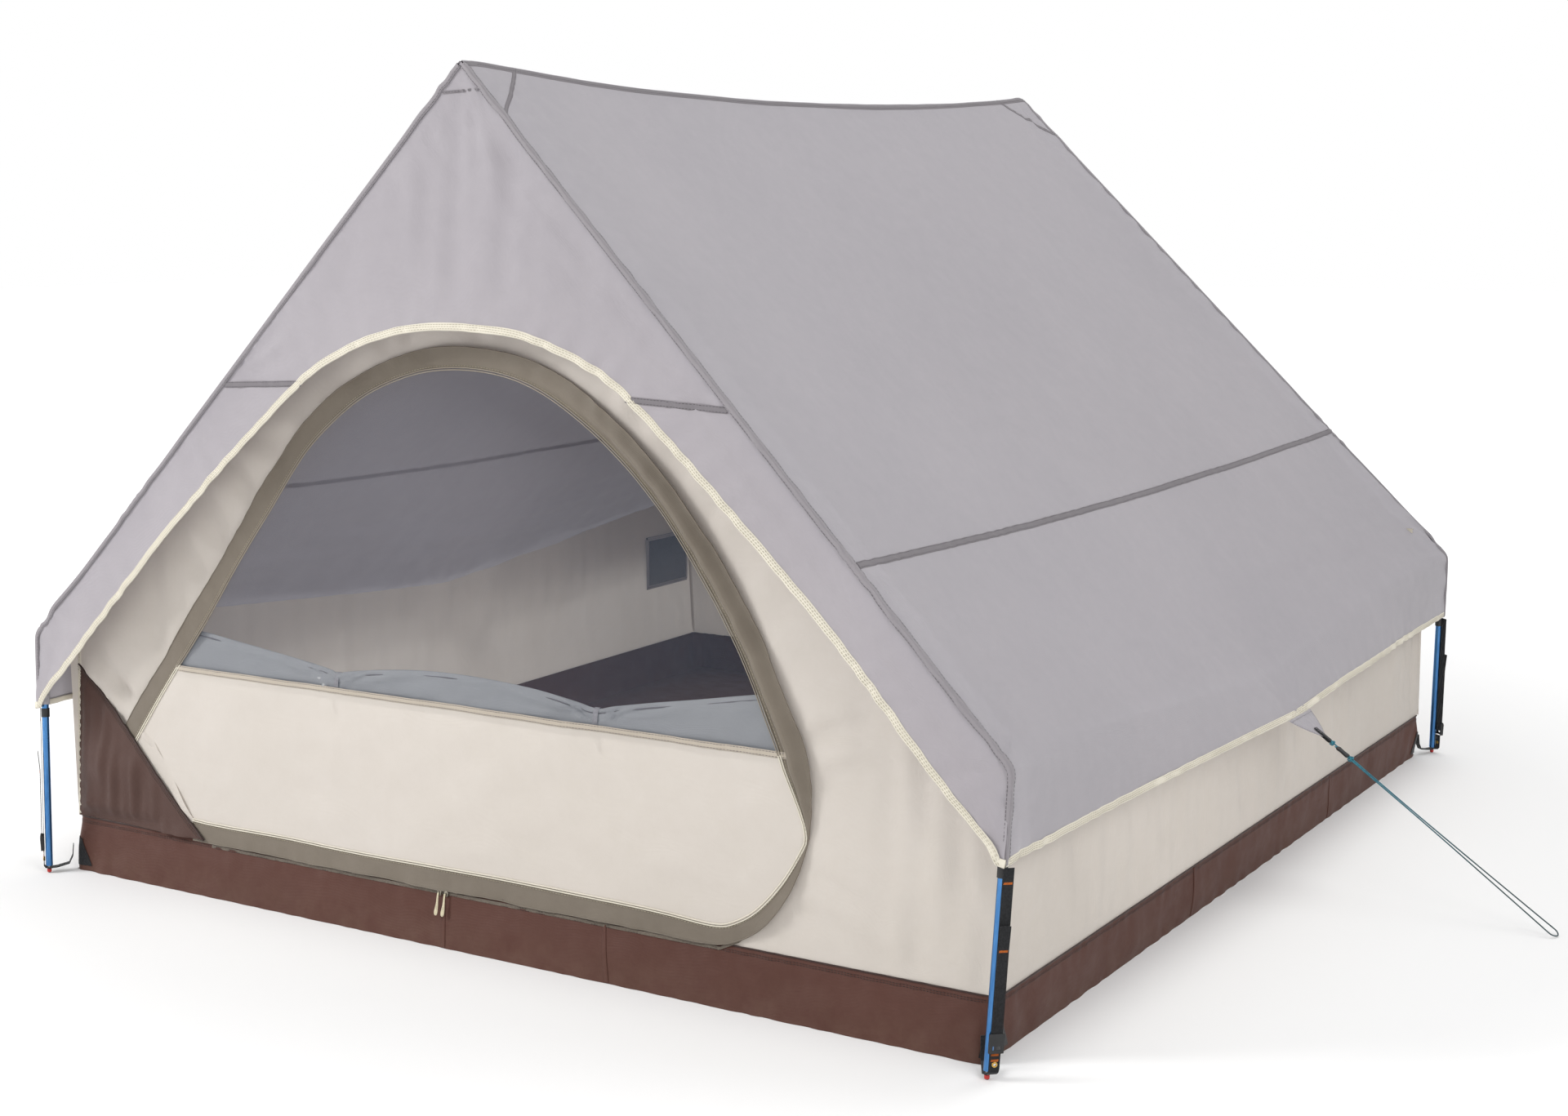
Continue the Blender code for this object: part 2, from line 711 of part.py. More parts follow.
def end_wall_outline():
    """End wall under the roof: straight sides, sloping top, flat cut at the ridge."""
    points = [(WALL_X, WALL_BASE)]
    edge_z = roof_height(WALL_X, -(WALL_Y - WALL_LEAN * 0.6)) - WALL_DROP
    points.append((WALL_X, edge_z))
    for x in (0.90, 0.60, 0.30):
        guess = 1.8 - x
        z = roof_height(x, -(WALL_Y - WALL_LEAN * guess)) - WALL_DROP
        points.append((x, z))
    z_low = roof_height(RIDGE_X, -(WALL_Y - WALL_LEAN * WALL_TOP_CUT)) - WALL_DROP
    points.append((RIDGE_X + (z_low - WALL_TOP_CUT), WALL_TOP_CUT))
    return points + [(-x, z) for x, z in reversed(points)]


WALL_OUTLINE = end_wall_outline()

# Door outline on the wall: outer edge of the taupe band, fold line on the left.
BAND = [
    (FOLD_X, 0.7120), (-0.650, 0.884), (-0.538, 1.033), (-0.440, 1.122), (-0.330, 1.193),
    (-0.200, 1.240), (-0.080, 1.258), (0.040, 1.254), (0.150, 1.229), (0.260, 1.180),
    (0.370, 1.105), (0.487, 0.998), (0.590, 0.880), (0.690, 0.735), (0.765, 0.595),
    (0.806, 0.493), (0.814, 0.400), (0.800, 0.320), (0.770, 0.245), (0.720, 0.178),
    (0.660, 0.136), (0.600, 0.1190), (FOLD_X, 0.1190),
]
BAND_W = 0.045


def inset(loop, distance):
    """Move every point of a closed loop inward by a distance."""
    n = len(loop)
    area = sum(loop[i][0] * loop[(i + 1) % n][1] - loop[(i + 1) % n][0] * loop[i][1] for i in range(n))
    turn = 1.0 if area > 0 else -1.0
    result = []
    for i in range(n):
        p = Vector(loop[i])
        a = (p - Vector(loop[i - 1])).normalized()
        b = (Vector(loop[(i + 1) % n]) - p).normalized()
        na = Vector((-a.y, a.x)) * turn
        nb = Vector((-b.y, b.x)) * turn
        m = (na + nb).normalized()
        result.append(tuple(p + m * (distance / max(m.dot(na), 0.35))))
    return result


# Door opening: just inside the band's outer edge, and on behind the stow pocket.
OPENING_Z = 0.1400
opening = [(x, max(z, OPENING_Z)) for x, z in inset(BAND, 0.0160)[1:-1]]
opening = [(-0.960, 0.440)] + opening + [(-0.720, OPENING_Z), (-0.800, OPENING_Z)]
plate("front_wall", [WALL_OUTLINE, opening], on_front_wall, 0.0, FABRIC, M_WALL)
plate("rear_wall", [WALL_OUTLINE], on_rear_wall, 0.0, FABRIC, M_WALL)


def make_side_wall(name, side):
    def place(y, z, d):
        return Vector((side * (WALL_X - d), y, z))

    low_y = WALL_Y - WALL_LEAN * WALL_BASE - FABRIC - GAP
    loop = [(-low_y, WALL_BASE), (low_y, WALL_BASE)]
    for y in (1.255, 0.95, 0.62, 0.32, 0.05, -0.25, -0.62, -0.95, -1.255):
        loop.append((y, roof_height(WALL_X + 0.002, y) - WALL_DROP))
    top_y = WALL_Y - WALL_LEAN * loop[2][1] - FABRIC - GAP
    loop[2] = (top_y, loop[2][1])
    loop[-1] = (-top_y, loop[-1][1])
    plate(name, [loop], place, 0.0, FABRIC, M_WALL)


make_side_wall("left_wall", -1)
make_side_wall("right_wall", 1)

# ------------------------------------------------------------------- the door
# The zipped door: taupe band round the edge, fabric below, mesh window above.
arch = [p for p in inset(BAND, BAND_W)[1:] if p[1] > WINDOW_Z + 0.004]
window_loop = [(FOLD_X + 0.0300, WINDOW_Z), (FOLD_X + 0.0300, 0.665)]
window_loop += [p for p in arch if p[0] > FOLD_X + 0.10]
window_loop += [(0.7560, WINDOW_Z)]
door_left = FOLD_X + FOLD_GAP
door_outline = [(door_left, BAND[0][1])] + BAND[1:-1] + [(door_left, BAND[-1][1])]
door = plate("door_panel", [door_outline, window_loop], on_front_wall, DOOR_IN, DOOR_OUT, M_WALL)
mesh_loop = inset(window_loop, 0.0005)
mesh_in, mesh_out = DOOR_IN - GAP, DOOR_OUT + GAP
window_obj = plate("door_mesh_window", [mesh_loop], on_front_wall, mesh_in, mesh_out, M_MESH)
FLAP_IN, FLAP_OUT = 0.0080, -0.0018
flap_loop = [
    (-0.745, 0.492), (-0.745, 0.596), (-0.600, 0.578), (-0.427, 0.552), (-0.398, 0.548),
    (-0.360, 0.560), (-0.200, 0.578), (-0.060, 0.581), (0.120, 0.570), (0.270, 0.556),
    (0.310, 0.556), (0.360, 0.575), (0.500, 0.600), (0.690, 0.618), (0.735, 0.560), (0.745, 0.492),
]
flap = plate("door_rolled_flap", [flap_loop], on_front_wall, FLAP_IN, FLAP_OUT, M_FLAP)

# The strip of door left of the fold line never leaves the wall.
gusset_loop = [
    (FOLD_X - FOLD_GAP, 0.1190), (FOLD_X - FOLD_GAP, BAND[0][1]), (-1.052, 0.355),
    (-1.010, 0.330), (-0.830, 0.1190),
]
plate("door_hinge_gusset", [gusset_loop], on_front_wall, DOOR_IN, DOOR_OUT, M_BAND)

# Zip coil on the body, under the free edge of the band.
track_out = inset(BAND, 0.0060)[1:-2]
track_in = inset(BAND, 0.0120)[1:-2]
track_out[-1] = (0.655, 0.1300)
track_in[-1] = (0.650, 0.1360)
track_out += [(0.610, 0.1085), (-0.770, 0.1085)]
track_in += [(0.612, 0.1155), (-0.770, 0.1155)]

track_loop = track_out + list(reversed(track_in))
plate("door_zip_track", [track_loop], on_front_wall, -0.0030, -0.0041, M_ZIP)

# Sliders on the bottom run of the zip, each with a hanging pull.
ZIP_Z = 0.1120
for name, x in (("left", -0.0960), ("right", -0.0780)):
    y_face = on_front_wall(x, ZIP_Z, DOOR_IN).y
    slider = box_mesh(
        "zip_slider_" + name,
        (x - 0.0060, y_face - 0.0045, ZIP_Z - 0.0060),
        (x + 0.0060, y_face, ZIP_Z + 0.0055),
        M_SLIDER,
    )
    move_origin(slider, (x, y_face - 0.0022, ZIP_Z))
    parent_to(slider, door)
    y_hang = y_face - 0.0070
    z_hinge = ZIP_Z + 0.0010
    pull = box_mesh(
        "zip_pull_" + name,
        (x - 0.0050, y_hang - 0.0015, ZIP_Z - 0.0480),
        (x + 0.0050, y_hang + 0.0015, z_hinge + 0.0016),
        M_PULL,
    )
    move_origin(pull, (x, y_hang, z_hinge))
    lean = math.atan((TUB_BOTTOM[1] - TUB_TOP[1]) / TUB_HEIGHT)   # hangs along the tub's side
    for v in pull.data.vertices:
        y, z = v.co.y, v.co.z
        v.co.y = y * math.cos(lean) + z * math.sin(lean)
        v.co.z = z * math.cos(lean) - y * math.sin(lean)
    parent_to(pull, slider)

# The door's origin lies on its fold line, at the foot of the sheet.
AXIS_Z = 0.119
axis_point = on_front_wall(FOLD_X, AXIS_Z, DOOR_OUT - FOLD_GAP)
kids = [c for c in bpy.data.objects if c.parent is door]
move_origin(door, axis_point)
bpy.context.view_layer.update()
for child in kids:
    child.matrix_parent_inverse = door.matrix_world.inverted()
for child in (window_obj, flap):
    parent_to(child, door)

# Brown pocket that the open door is stuffed into.
stow_loop = [
    (-1.2120, 0.1240), (-0.7900, 0.1240), (-0.860, 0.180), (-0.950, 0.262), (-1.040, 0.350),
    (-1.130, 0.432), (-1.2120, 0.4840),
]
STOW_NEAR, STOW_FAR = DOOR_OUT - 0.0005, DOOR_OUT - 0.0040
plate("door_stow_pocket", [stow_loop], on_front_wall, STOW_NEAR, STOW_FAR, M_STOW)

# Gear pocket on the left wall inside, open at the top.
wall_face = -WALL_X + FABRIC + GAP
pocket = box_mesh(
    "gear_pocket",
    (wall_face, 1.030, 0.305),
    (wall_face + 0.012, 1.262, 0.475),
    M_GEAR,
)
slot = box_mesh(
    "cutter",
    (wall_face + 0.0020, 1.0325, 0.3080),
    (wall_face + 0.0098, 1.2595, 0.5000),
    M_GEAR,
)
boolean(pocket, slot, "DIFFERENCE")

# ------------------------------------------------------------------ guy line
HEM_MID = Vector((1.3030, 0.0450, 0.3850))
GROUND = Vector((1.9160, -0.0710, 0.0026))
guy_way = (GROUND - HEM_MID).normalized()
guy_side = Vector((0, 0, 1)).cross(guy_way).normalized()
guy_up = guy_way.cross(guy_side).normalized()
CORD_D = 0.0030
CORD_LANE = 0.0035            # half the spacing of the two strands
HEM_GAP = 0.0022
TAB_HALF, TAB_TIP = 0.074, 0.074
LOOP_HALF, LOOP_LEN = 0.006, 0.018


def make_guy_tab(name, mirror):
    """Triangle of fly cloth at the hem, drawn to a webbing loop for the guy line."""
    shape = [
        (-TAB_HALF, HEM_GAP), (TAB_HALF, HEM_GAP), (LOOP_HALF, TAB_TIP),
        (LOOP_HALF, TAB_TIP + LOOP_LEN), (-LOOP_HALF, TAB_TIP + LOOP_LEN), (-LOOP_HALF, TAB_TIP),
    ]

    def place(a, b, d):
        lead = guy_side if b > HEM_GAP else Vector((0, 1, 0))
        p = HEM_MID + lead * a + guy_way * b + guy_up * d
        return Vector((mirror * p.x, p.y, p.z))

    plate(name, [shape], place, -0.0010, 0.0010, M_FLY)


make_guy_tab("guy_tab_right", 1)
make_guy_tab("guy_tab_left", -1)


# The line runs from the webbing loop to the ground, round a small loop and back.
GUY_ROUTE = [
    (1.3937, 0.0243, 0.3280), (1.4280, 0.0178, 0.3066), (1.4866, 0.0067, 0.2700),
    (1.5537, -0.0060, 0.2282), (1.6058, -0.0165, 0.1956), (1.6751, -0.0314, 0.1522),
    (1.7443, -0.0469, 0.1087), (1.8135, -0.0628, 0.0653), (1.8653, -0.0750, 0.0327),
    (1.8998, -0.0832, 0.0110), (1.9065, -0.0824, 0.0070), (1.9121, -0.0779, 0.0042),
    (1.9152, -0.0708, 0.0031), (1.9149, -0.0632, 0.0042), (1.9113, -0.0569, 0.0070),
    (1.9054, -0.0537, 0.0110), (1.8702, -0.0488, 0.0327), (1.8176, -0.0412, 0.0653),
    (1.7474, -0.0308, 0.1087), (1.6773, -0.0198, 0.1522), (1.6073, -0.0083, 0.1956),
    (1.5550, 0.0009, 0.2282), (1.4879, 0.0136, 0.2700), (1.4293, 0.0247, 0.3066),
    (1.3816, 0.0337, 0.3364),
]
ROUTE_STEPS = 3


def smooth_route(route, steps):
    """Points of a Catmull-Rom curve through a short list of points."""
    p = [Vector(point) for point in route]
    p = [2 * p[0] - p[1]] + p + [2 * p[-1] - p[-2]]
    points = []
    for a, b, c, d in zip(p[:-3], p[1:-2], p[2:-1], p[3:]):
        for i in range(steps):
            t = i / steps
            points.append(
                b
                + 0.5 * t * (c - a)
                + 0.5 * t * t * (2 * a - 5 * b + 4 * c - d)
                + 0.5 * t * t * t * (3 * b - a - 3 * c + d)
            )
    points.append(p[-2])
    return points


cord_points = smooth_route(GUY_ROUTE, ROUTE_STEPS)
curve = bpy.data.curves.new("guy_line", "CURVE")
curve.dimensions = "3D"
curve.bevel_depth = 0.5 * CORD_D
curve.bevel_resolution = 2
curve.use_fill_caps = True
spline = curve.splines.new("POLY")
spline.points.add(len(cord_points) - 1)
for point, co in zip(spline.points, cord_points):
    point.co = (co.x, co.y, co.z, 1.0)
curve.materials.append(M_CORD)
cord = bpy.data.objects.new("guy_line", curve)
bpy.context.scene.collection.objects.link(cord)

# Line tensioner: a block both strands run through.
TENSIONER = 0.1300            # block centre, from the hem along the line
BLOCK_LEN, BLOCK_W, BLOCK_T = 0.0320, 0.0160, 0.0068


def guy_at(b, a, d=0.0):
    return HEM_MID + guy_way * b + guy_side * a + guy_up * d


block_verts = []
for b in (TENSIONER - 0.5 * BLOCK_LEN, TENSIONER + 0.5 * BLOCK_LEN):
    for a, d in ((-0.5, -0.5), (0.5, -0.5), (0.5, 0.5), (-0.5, 0.5)):
        block_verts.append(guy_at(b, a * BLOCK_W, d * BLOCK_T))
block_faces = [(3, 2, 1, 0), (4, 5, 6, 7), (0, 1, 5, 4), (1, 2, 6, 5), (2, 3, 7, 6), (3, 0, 4, 7)]
tensioner = add("guy_tensioner", block_verts, block_faces, M_PLASTIC)
for a in (-CORD_LANE, CORD_LANE):
    hole = [
        (guy_at(TENSIONER - BLOCK_LEN, a), guy_way, 0.5 * CORD_D + 0.0005),
        (guy_at(TENSIONER + BLOCK_LEN, a), guy_way, 0.5 * CORD_D + 0.0005),
    ]
    boolean(tensioner, turned("cutter", hole, 12, M_PLASTIC, True, (0, 0, 1)), "DIFFERENCE")
move_origin(tensioner, guy_at(TENSIONER, 0.0))
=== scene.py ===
"""Looks of the A-frame tent: cloth, seams, webbing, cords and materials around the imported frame."""

import math

import bpy
import numpy as np
from mathutils import Matrix, Vector, geometry


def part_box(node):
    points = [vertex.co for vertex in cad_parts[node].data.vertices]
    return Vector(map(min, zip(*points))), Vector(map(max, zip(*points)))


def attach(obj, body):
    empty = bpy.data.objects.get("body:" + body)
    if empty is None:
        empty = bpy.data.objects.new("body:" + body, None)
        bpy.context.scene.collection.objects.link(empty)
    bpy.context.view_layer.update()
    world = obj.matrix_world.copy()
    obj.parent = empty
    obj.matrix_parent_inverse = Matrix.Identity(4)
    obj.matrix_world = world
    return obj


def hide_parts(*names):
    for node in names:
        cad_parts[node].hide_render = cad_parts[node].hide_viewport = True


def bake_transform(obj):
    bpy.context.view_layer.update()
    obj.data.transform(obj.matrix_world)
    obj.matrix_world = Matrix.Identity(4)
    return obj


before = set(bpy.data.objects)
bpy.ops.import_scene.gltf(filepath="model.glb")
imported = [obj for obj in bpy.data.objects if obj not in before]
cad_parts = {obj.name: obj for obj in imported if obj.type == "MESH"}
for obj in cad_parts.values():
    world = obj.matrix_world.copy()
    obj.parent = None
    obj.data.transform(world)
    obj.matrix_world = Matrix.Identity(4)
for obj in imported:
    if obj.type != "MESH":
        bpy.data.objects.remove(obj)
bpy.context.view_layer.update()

# ------------------------------------------------------------ driving dimensions, as in the frame
FOOT_X, FOOT_Y = 1.2325, 1.3735
EAVE_X, EAVE_Y, EAVE_Z = 1.2530, 1.3315, 0.5604
ROOF_END_Y, ROOF_END_LEAN = 1.38073, 0.0657
WALL_X, WALL_Y, WALL_LEAN = 1.2150, 1.3000, 0.0667
WALL_BASE = 0.1225
TUB_BOTTOM, TUB_TOP, TUB_HEIGHT = (1.2000, 1.3200), (1.2125, 1.2920), 0.1220
TAB_T, POLE_T = 0.037, 0.974
FOLD_X = -0.780
WINDOW_Z = 0.510
DOOR_LIFT = 0.0057
CORD_D = 0.0030
STRAP_SHIFT, STRAP_NORMAL = (0.0138, 0.0030), (0.64, 0.77)
LANE = 0.0042
PATCH_ROW = 0.88
CORNERS = [
    ("front", -1, "left", -1), ("front", -1, "right", 1), ("rear", 1, "left", -1), ("rear", 1, "right", 1)
]

# ------------------------------------------------------------ colours


def srgb(red, green, blue):
    """Linear colour from 8-bit display values."""
    def linear(value):
        share = value / 255.0
        return share / 12.92 if share <= 0.04045 else ((share + 0.055) / 1.055) ** 2.4
    return (linear(red), linear(green), linear(blue), 1.0)


FLY_GREY, FLY_DEEP = srgb(172, 168, 173), srgb(159, 156, 162)
GABLE_GREY, GABLE_DEEP = srgb(178, 173, 178), srgb(163, 158, 164)
WALL_CREAM, WALL_DEEP = srgb(222, 215, 207), srgb(207, 199, 188)
TUB_BROWN, TUB_DEEP = srgb(84, 50, 40), srgb(69, 40, 32)
STOW_BROWN, STOW_DEEP = srgb(77, 54, 47), srgb(67, 46, 39)
BAND_TAUPE, BAND_DEEP = srgb(119, 110, 98), srgb(97, 88, 77)
FLAP_GREY, FLAP_DEEP = srgb(182, 183, 185), srgb(164, 165, 168)
PIPING, PIPING_DEEP = srgb(224, 218, 203), srgb(206, 199, 181)
NEST_BROWN = srgb(60, 42, 38)
THREAD_GREY, THREAD_CREAM, THREAD_BROWN = srgb(96, 92, 95), srgb(188, 180, 158), srgb(58, 42, 38)
THREAD_ORANGE = srgb(222, 120, 40)

# ------------------------------------------------------------ materials


class Nodes:
    """A material's node tree, with short calls for its textures."""

    def __init__(self, name):
        self.material = bpy.data.materials.new(name)
        self.material.use_nodes = True
        self.tree = self.material.node_tree
        self.tree.nodes.clear()
        self.output = self.add("ShaderNodeOutputMaterial")
        self.coords = self.add("ShaderNodeTexCoord").outputs["Object"]

    def add(self, kind, **settings):
        node = self.tree.nodes.new(kind)
        for key, value in settings.items():
            setattr(node, key, value)
        return node

    def link(self, source, target):
        self.tree.links.new(source, target)

    def noise(self, scale, detail=3.0, rough=0.5, stretch=None):
        node = self.add("ShaderNodeTexNoise")
        node.inputs["Scale"].default_value = scale
        node.inputs["Detail"].default_value = detail
        node.inputs["Roughness"].default_value = rough
        coords = self.coords
        if stretch:
            mapping = self.add("ShaderNodeMapping")
            mapping.inputs["Scale"].default_value = stretch
            self.link(coords, mapping.inputs["Vector"])
            coords = mapping.outputs["Vector"]
        self.link(coords, node.inputs["Vector"])
        return node.outputs["Fac"]

    def bands(self, scale, axis):
        node = self.add("ShaderNodeTexWave", wave_type="BANDS", bands_direction=axis, wave_profile="SIN")
        node.inputs["Scale"].default_value = scale
        self.link(self.coords, node.inputs["Vector"])
        return node.outputs["Fac"]

    def maths(self, operation, first, second):
        node = self.add("ShaderNodeMath", operation=operation)
        for socket, value in zip(node.inputs, (first, second)):
            if isinstance(value, (int, float)):
                socket.default_value = value
            else:
                self.link(value, socket)
        return node.outputs[0]

    def spread(self, value, low, high, to_low=0.0, to_high=1.0):
        node = self.add("ShaderNodeMapRange")
        for key, amount in zip(("From Min", "From Max", "To Min", "To Max"), (low, high, to_low, to_high)):
            node.inputs[key].default_value = amount
        self.link(value, node.inputs["Value"])
        return node.outputs["Result"]

    def mixed(self, factor, first, second):
        node = self.add("ShaderNodeMix", data_type="RGBA")
        self.link(factor, node.inputs[0])
        for socket, value in zip((node.inputs[6], node.inputs[7]), (first, second)):
            if isinstance(value, tuple):
                socket.default_value = value
            else:
                self.link(value, socket)
        return node.outputs[2]

    def bump(self, height, distance, strength, before=None):
        node = self.add("ShaderNodeBump")
        node.inputs["Distance"].default_value = distance
        node.inputs["Strength"].default_value = strength
        self.link(height, node.inputs["Height"])
        if before is not None:
            self.link(before, node.inputs["Normal"])
        return node.outputs["Normal"]

    def principled(self, colour, roughness, normal, metallic=0.0, sheen=0.0, coat=0.0, specular=0.5):
        node = self.add("ShaderNodeBsdfPrincipled")
        self.link(colour, node.inputs["Base Color"])
        self.link(roughness, node.inputs["Roughness"])
        if normal is not None:
            self.link(normal, node.inputs["Normal"])
        node.inputs["Metallic"].default_value = metallic
        node.inputs["Sheen Weight"].default_value = sheen
        node.inputs["Sheen Roughness"].default_value = 0.4
        node.inputs["Coat Weight"].default_value = coat
        node.inputs["Coat Roughness"].default_value = 0.25
        node.inputs["Specular IOR Level"].default_value = specular
        return node.outputs["BSDF"]

    def finish(self, shader):
        self.link(shader, self.output.inputs["Surface"])
        return self.material


def cloth(
    name, light, deep, rough=0.66, sheen=0.18, through=0.0, thread=230.0, crinkle=0.14, grime=0.0,
    patchy=0.55
):
    """Woven tent cloth: plain weave, fine crinkle, patchy tone, and dust near the ground."""
    n = Nodes(name)
    broad = n.noise(1.9, 4.0, 0.55)
    fine = n.noise(26.0, 5.0, 0.6)
    tone = n.maths("ADD", n.maths("MULTIPLY", broad, 0.72), n.maths("MULTIPLY", fine, 0.28))
    weave = n.maths("ADD", n.bands(thread, "X"), n.maths("ADD", n.bands(thread, "Y"), n.bands(thread, "Z")))
    slub = n.noise(150.0, 2.0, 0.5, (1.0, 0.12, 1.0))
    tone = n.maths("ADD", tone, n.maths("MULTIPLY", n.maths("SUBTRACT", slub, 0.5), 0.10))
    colour = n.mixed(n.spread(tone, 0.30, 0.74, 0.0, patchy), light, deep)
    if grime:
        split = n.add("ShaderNodeSeparateXYZ")
        n.link(n.coords, split.inputs[0])
        low = n.spread(split.outputs["Z"], 0.0, 0.09, grime, 0.0)
        patch = n.maths("MULTIPLY", low, n.spread(n.noise(16.0, 5.0, 0.65), 0.35, 0.7))
        colour = n.mixed(patch, colour, srgb(150, 132, 112))
    normal = n.bump(n.noise(38.0, 4.0, 0.55), 0.0022, crinkle)
    normal = n.bump(weave, 0.00022, 0.45, normal)
    roughness = n.spread(fine, 0.3, 0.7, rough - 0.07, rough + 0.07)
    shader = n.principled(colour, roughness, normal, sheen=sheen, specular=0.32)
    if through:
        glow = n.add("ShaderNodeBsdfTranslucent")
        n.link(colour, glow.inputs["Color"])
        n.link(normal, glow.inputs["Normal"])
        mix = n.add("ShaderNodeMixShader")
        mix.inputs["Fac"].default_value = through
        n.link(shader, mix.inputs[1])
        n.link(glow.outputs["BSDF"], mix.inputs[2])
        shader = mix.outputs["Shader"]
    return n.finish(shader)


def netting(name, tone, solid):
    """Fine insect mesh: dark threads with the gaps let through."""
    n = Nodes(name)
    cells = n.maths("MULTIPLY", n.bands(170.0, "X"), n.bands(170.0, "Z"))
    patches = n.noise(3.0, 3.0, 0.5)
    colour = n.mixed(patches, tone, tuple(0.7 * c for c in tone[:3]) + (1.0,))
    roughness = n.spread(patches, 0.3, 0.7, 0.7, 0.85)
    shader = n.principled(colour, roughness, None, sheen=0.05, specular=0.2)
    clear = n.add("ShaderNodeBsdfTransparent")
    mix = n.add("ShaderNodeMixShader")
    cover = n.spread(
        n.maths("ADD", cells, n.maths("MULTIPLY", patches, 0.3)), 0.0, 1.1, solid + 0.06, solid - 0.06
    )
    n.link(cover, mix.inputs["Fac"])
    n.link(clear.outputs["BSDF"], mix.inputs[1])
    n.link(shader, mix.inputs[2])
    return n.finish(mix.outputs["Shader"])


def webbing(name, light, deep, ribs=190.0, rough=0.72):
    """Narrow woven tape: ribs across and along, with fuzz."""
    n = Nodes(name)
    fuzz = n.noise(240.0, 3.0, 0.6)
    colour = n.mixed(
        n.spread(
            n.maths("ADD", n.maths("MULTIPLY", fuzz, 0.6), n.maths("MULTIPLY", n.noise(9.0), 0.4)), 0.35,
            0.65
        ),
        light, deep
    )
    ribbing = n.maths(
        "ADD", n.bands(ribs, "Z"), n.maths("ADD", n.bands(ribs * 1.3, "X"), n.bands(ribs * 1.3, "Y"))
    )
    normal = n.bump(ribbing, 0.0004, 0.6)
    normal = n.bump(fuzz, 0.0004, 0.25, normal)
    return n.finish(n.principled(
        colour, n.spread(fuzz, 0.3, 0.7, rough - 0.08, rough + 0.08), normal, sheen=0.22, specular=0.3,
    ))


def metal(name, light, deep, rough=0.3, streak=(1.0, 1.0, 0.05), metallic=1.0, coat=0.0):
    """Drawn or anodised metal: fine lengthwise streaks, small scratches, dull patches."""
    n = Nodes(name)
    drawn = n.noise(420.0, 2.0, 0.5, streak)
    patch = n.noise(7.0, 4.0, 0.6)
    colour = n.mixed(
        n.spread(
            n.maths("ADD", n.maths("MULTIPLY", drawn, 0.5), n.maths("MULTIPLY", patch, 0.5)), 0.35, 0.65
        ),
        light, deep
    )
    roughness = n.spread(patch, 0.3, 0.7, rough - 0.06, rough + 0.09)
    normal = n.bump(drawn, 0.00012, 0.3)
    return n.finish(n.principled(colour, roughness, normal, metallic=metallic, coat=coat))


def moulded(name, light, deep, rough=0.45):
    """Moulded plastic: fine spark texture and handling marks."""
    n = Nodes(name)
    grain = n.noise(900.0, 2.0, 0.5)
    patch = n.noise(30.0, 4.0, 0.6)
    colour = n.mixed(n.spread(patch, 0.3, 0.7), light, deep)
    roughness = n.spread(patch, 0.3, 0.7, rough - 0.08, rough + 0.10)
    return n.finish(n.principled(colour, roughness, n.bump(grain, 0.0002, 0.25), coat=0.04))


def braided(name, light, deep, far_light, far_deep):
    """Braided line: crossing strands, brighter near the tent and greyer towards the ground."""
    n = Nodes(name)
    strands = n.maths("MULTIPLY", n.bands(260.0, "X"), n.bands(260.0, "Z"))
    fleck = n.noise(520.0, 2.0, 0.5)
    near = n.mixed(n.spread(fleck, 0.4, 0.6), light, deep)
    away = n.mixed(n.spread(fleck, 0.4, 0.6), far_light, far_deep)
    split = n.add("ShaderNodeSeparateXYZ")
    n.link(n.coords, split.inputs[0])
    colour = n.mixed(n.spread(split.outputs["X"], 1.46, 1.74), near, away)
    normal = n.bump(strands, 0.0004, 0.7)
    return n.finish(n.principled(colour, n.spread(fleck, 0.3, 0.7, 0.55, 0.72), normal, sheen=0.15))


FLY = cloth("fly_cloth", FLY_GREY, FLY_DEEP, through=0.17, rough=0.60)
GABLE = cloth("gable_cloth", GABLE_GREY, GABLE_DEEP, through=0.24, rough=0.60)
WALL = cloth("wall_cloth", WALL_CREAM, WALL_DEEP, through=0.26, rough=0.70)
TUB = cloth("tub_cloth", TUB_BROWN, TUB_DEEP, rough=0.66, sheen=0.04, thread=200.0, grime=0.10)
STOW = cloth("stow_cloth", STOW_BROWN, STOW_DEEP, rough=0.64, sheen=0.06, thread=200.0, patchy=0.35)
BAND_CLOTH = cloth("band_cloth", BAND_TAUPE, BAND_DEEP, rough=0.60, sheen=0.2)
FLAP = cloth("flap_cloth", FLAP_GREY, FLAP_DEEP, rough=0.55, through=0.12, sheen=0.25)
BINDING = cloth("binding_tape", PIPING, PIPING_DEEP, rough=0.75, thread=300.0, crinkle=0.3)
BINDING_BROWN = cloth("binding_brown", NEST_BROWN, srgb(44, 31, 28), rough=0.7, thread=300.0)
SEAM_GREY = cloth("seam_tape_grey", srgb(158, 153, 157), srgb(144, 140, 144), rough=0.62, through=0.45)
EDGE_GREY = cloth("edge_tape_grey", srgb(154, 149, 153), srgb(140, 136, 140), rough=0.62, through=0.18)
BINDING_TAUPE = cloth(
    "binding_taupe", srgb(150, 141, 128), srgb(124, 115, 102), rough=0.75, thread=300.0, crinkle=0.3
)
SEAM_SILL = cloth("seam_tape_sill", srgb(184, 174, 160), srgb(164, 154, 140), rough=0.7)
SEAM_CREAM = cloth("seam_tape_cream", srgb(214, 208, 194), srgb(198, 190, 172), rough=0.7)
THREAD_A = webbing("thread_grey", THREAD_GREY, srgb(112, 106, 114), 700.0)
THREAD_B = webbing("thread_cream", THREAD_CREAM, srgb(156, 146, 122), 700.0)
THREAD_C = webbing("thread_brown", THREAD_BROWN, srgb(40, 29, 26), 700.0)
THREAD_D = webbing("thread_orange", THREAD_ORANGE, srgb(196, 98, 30), 700.0)
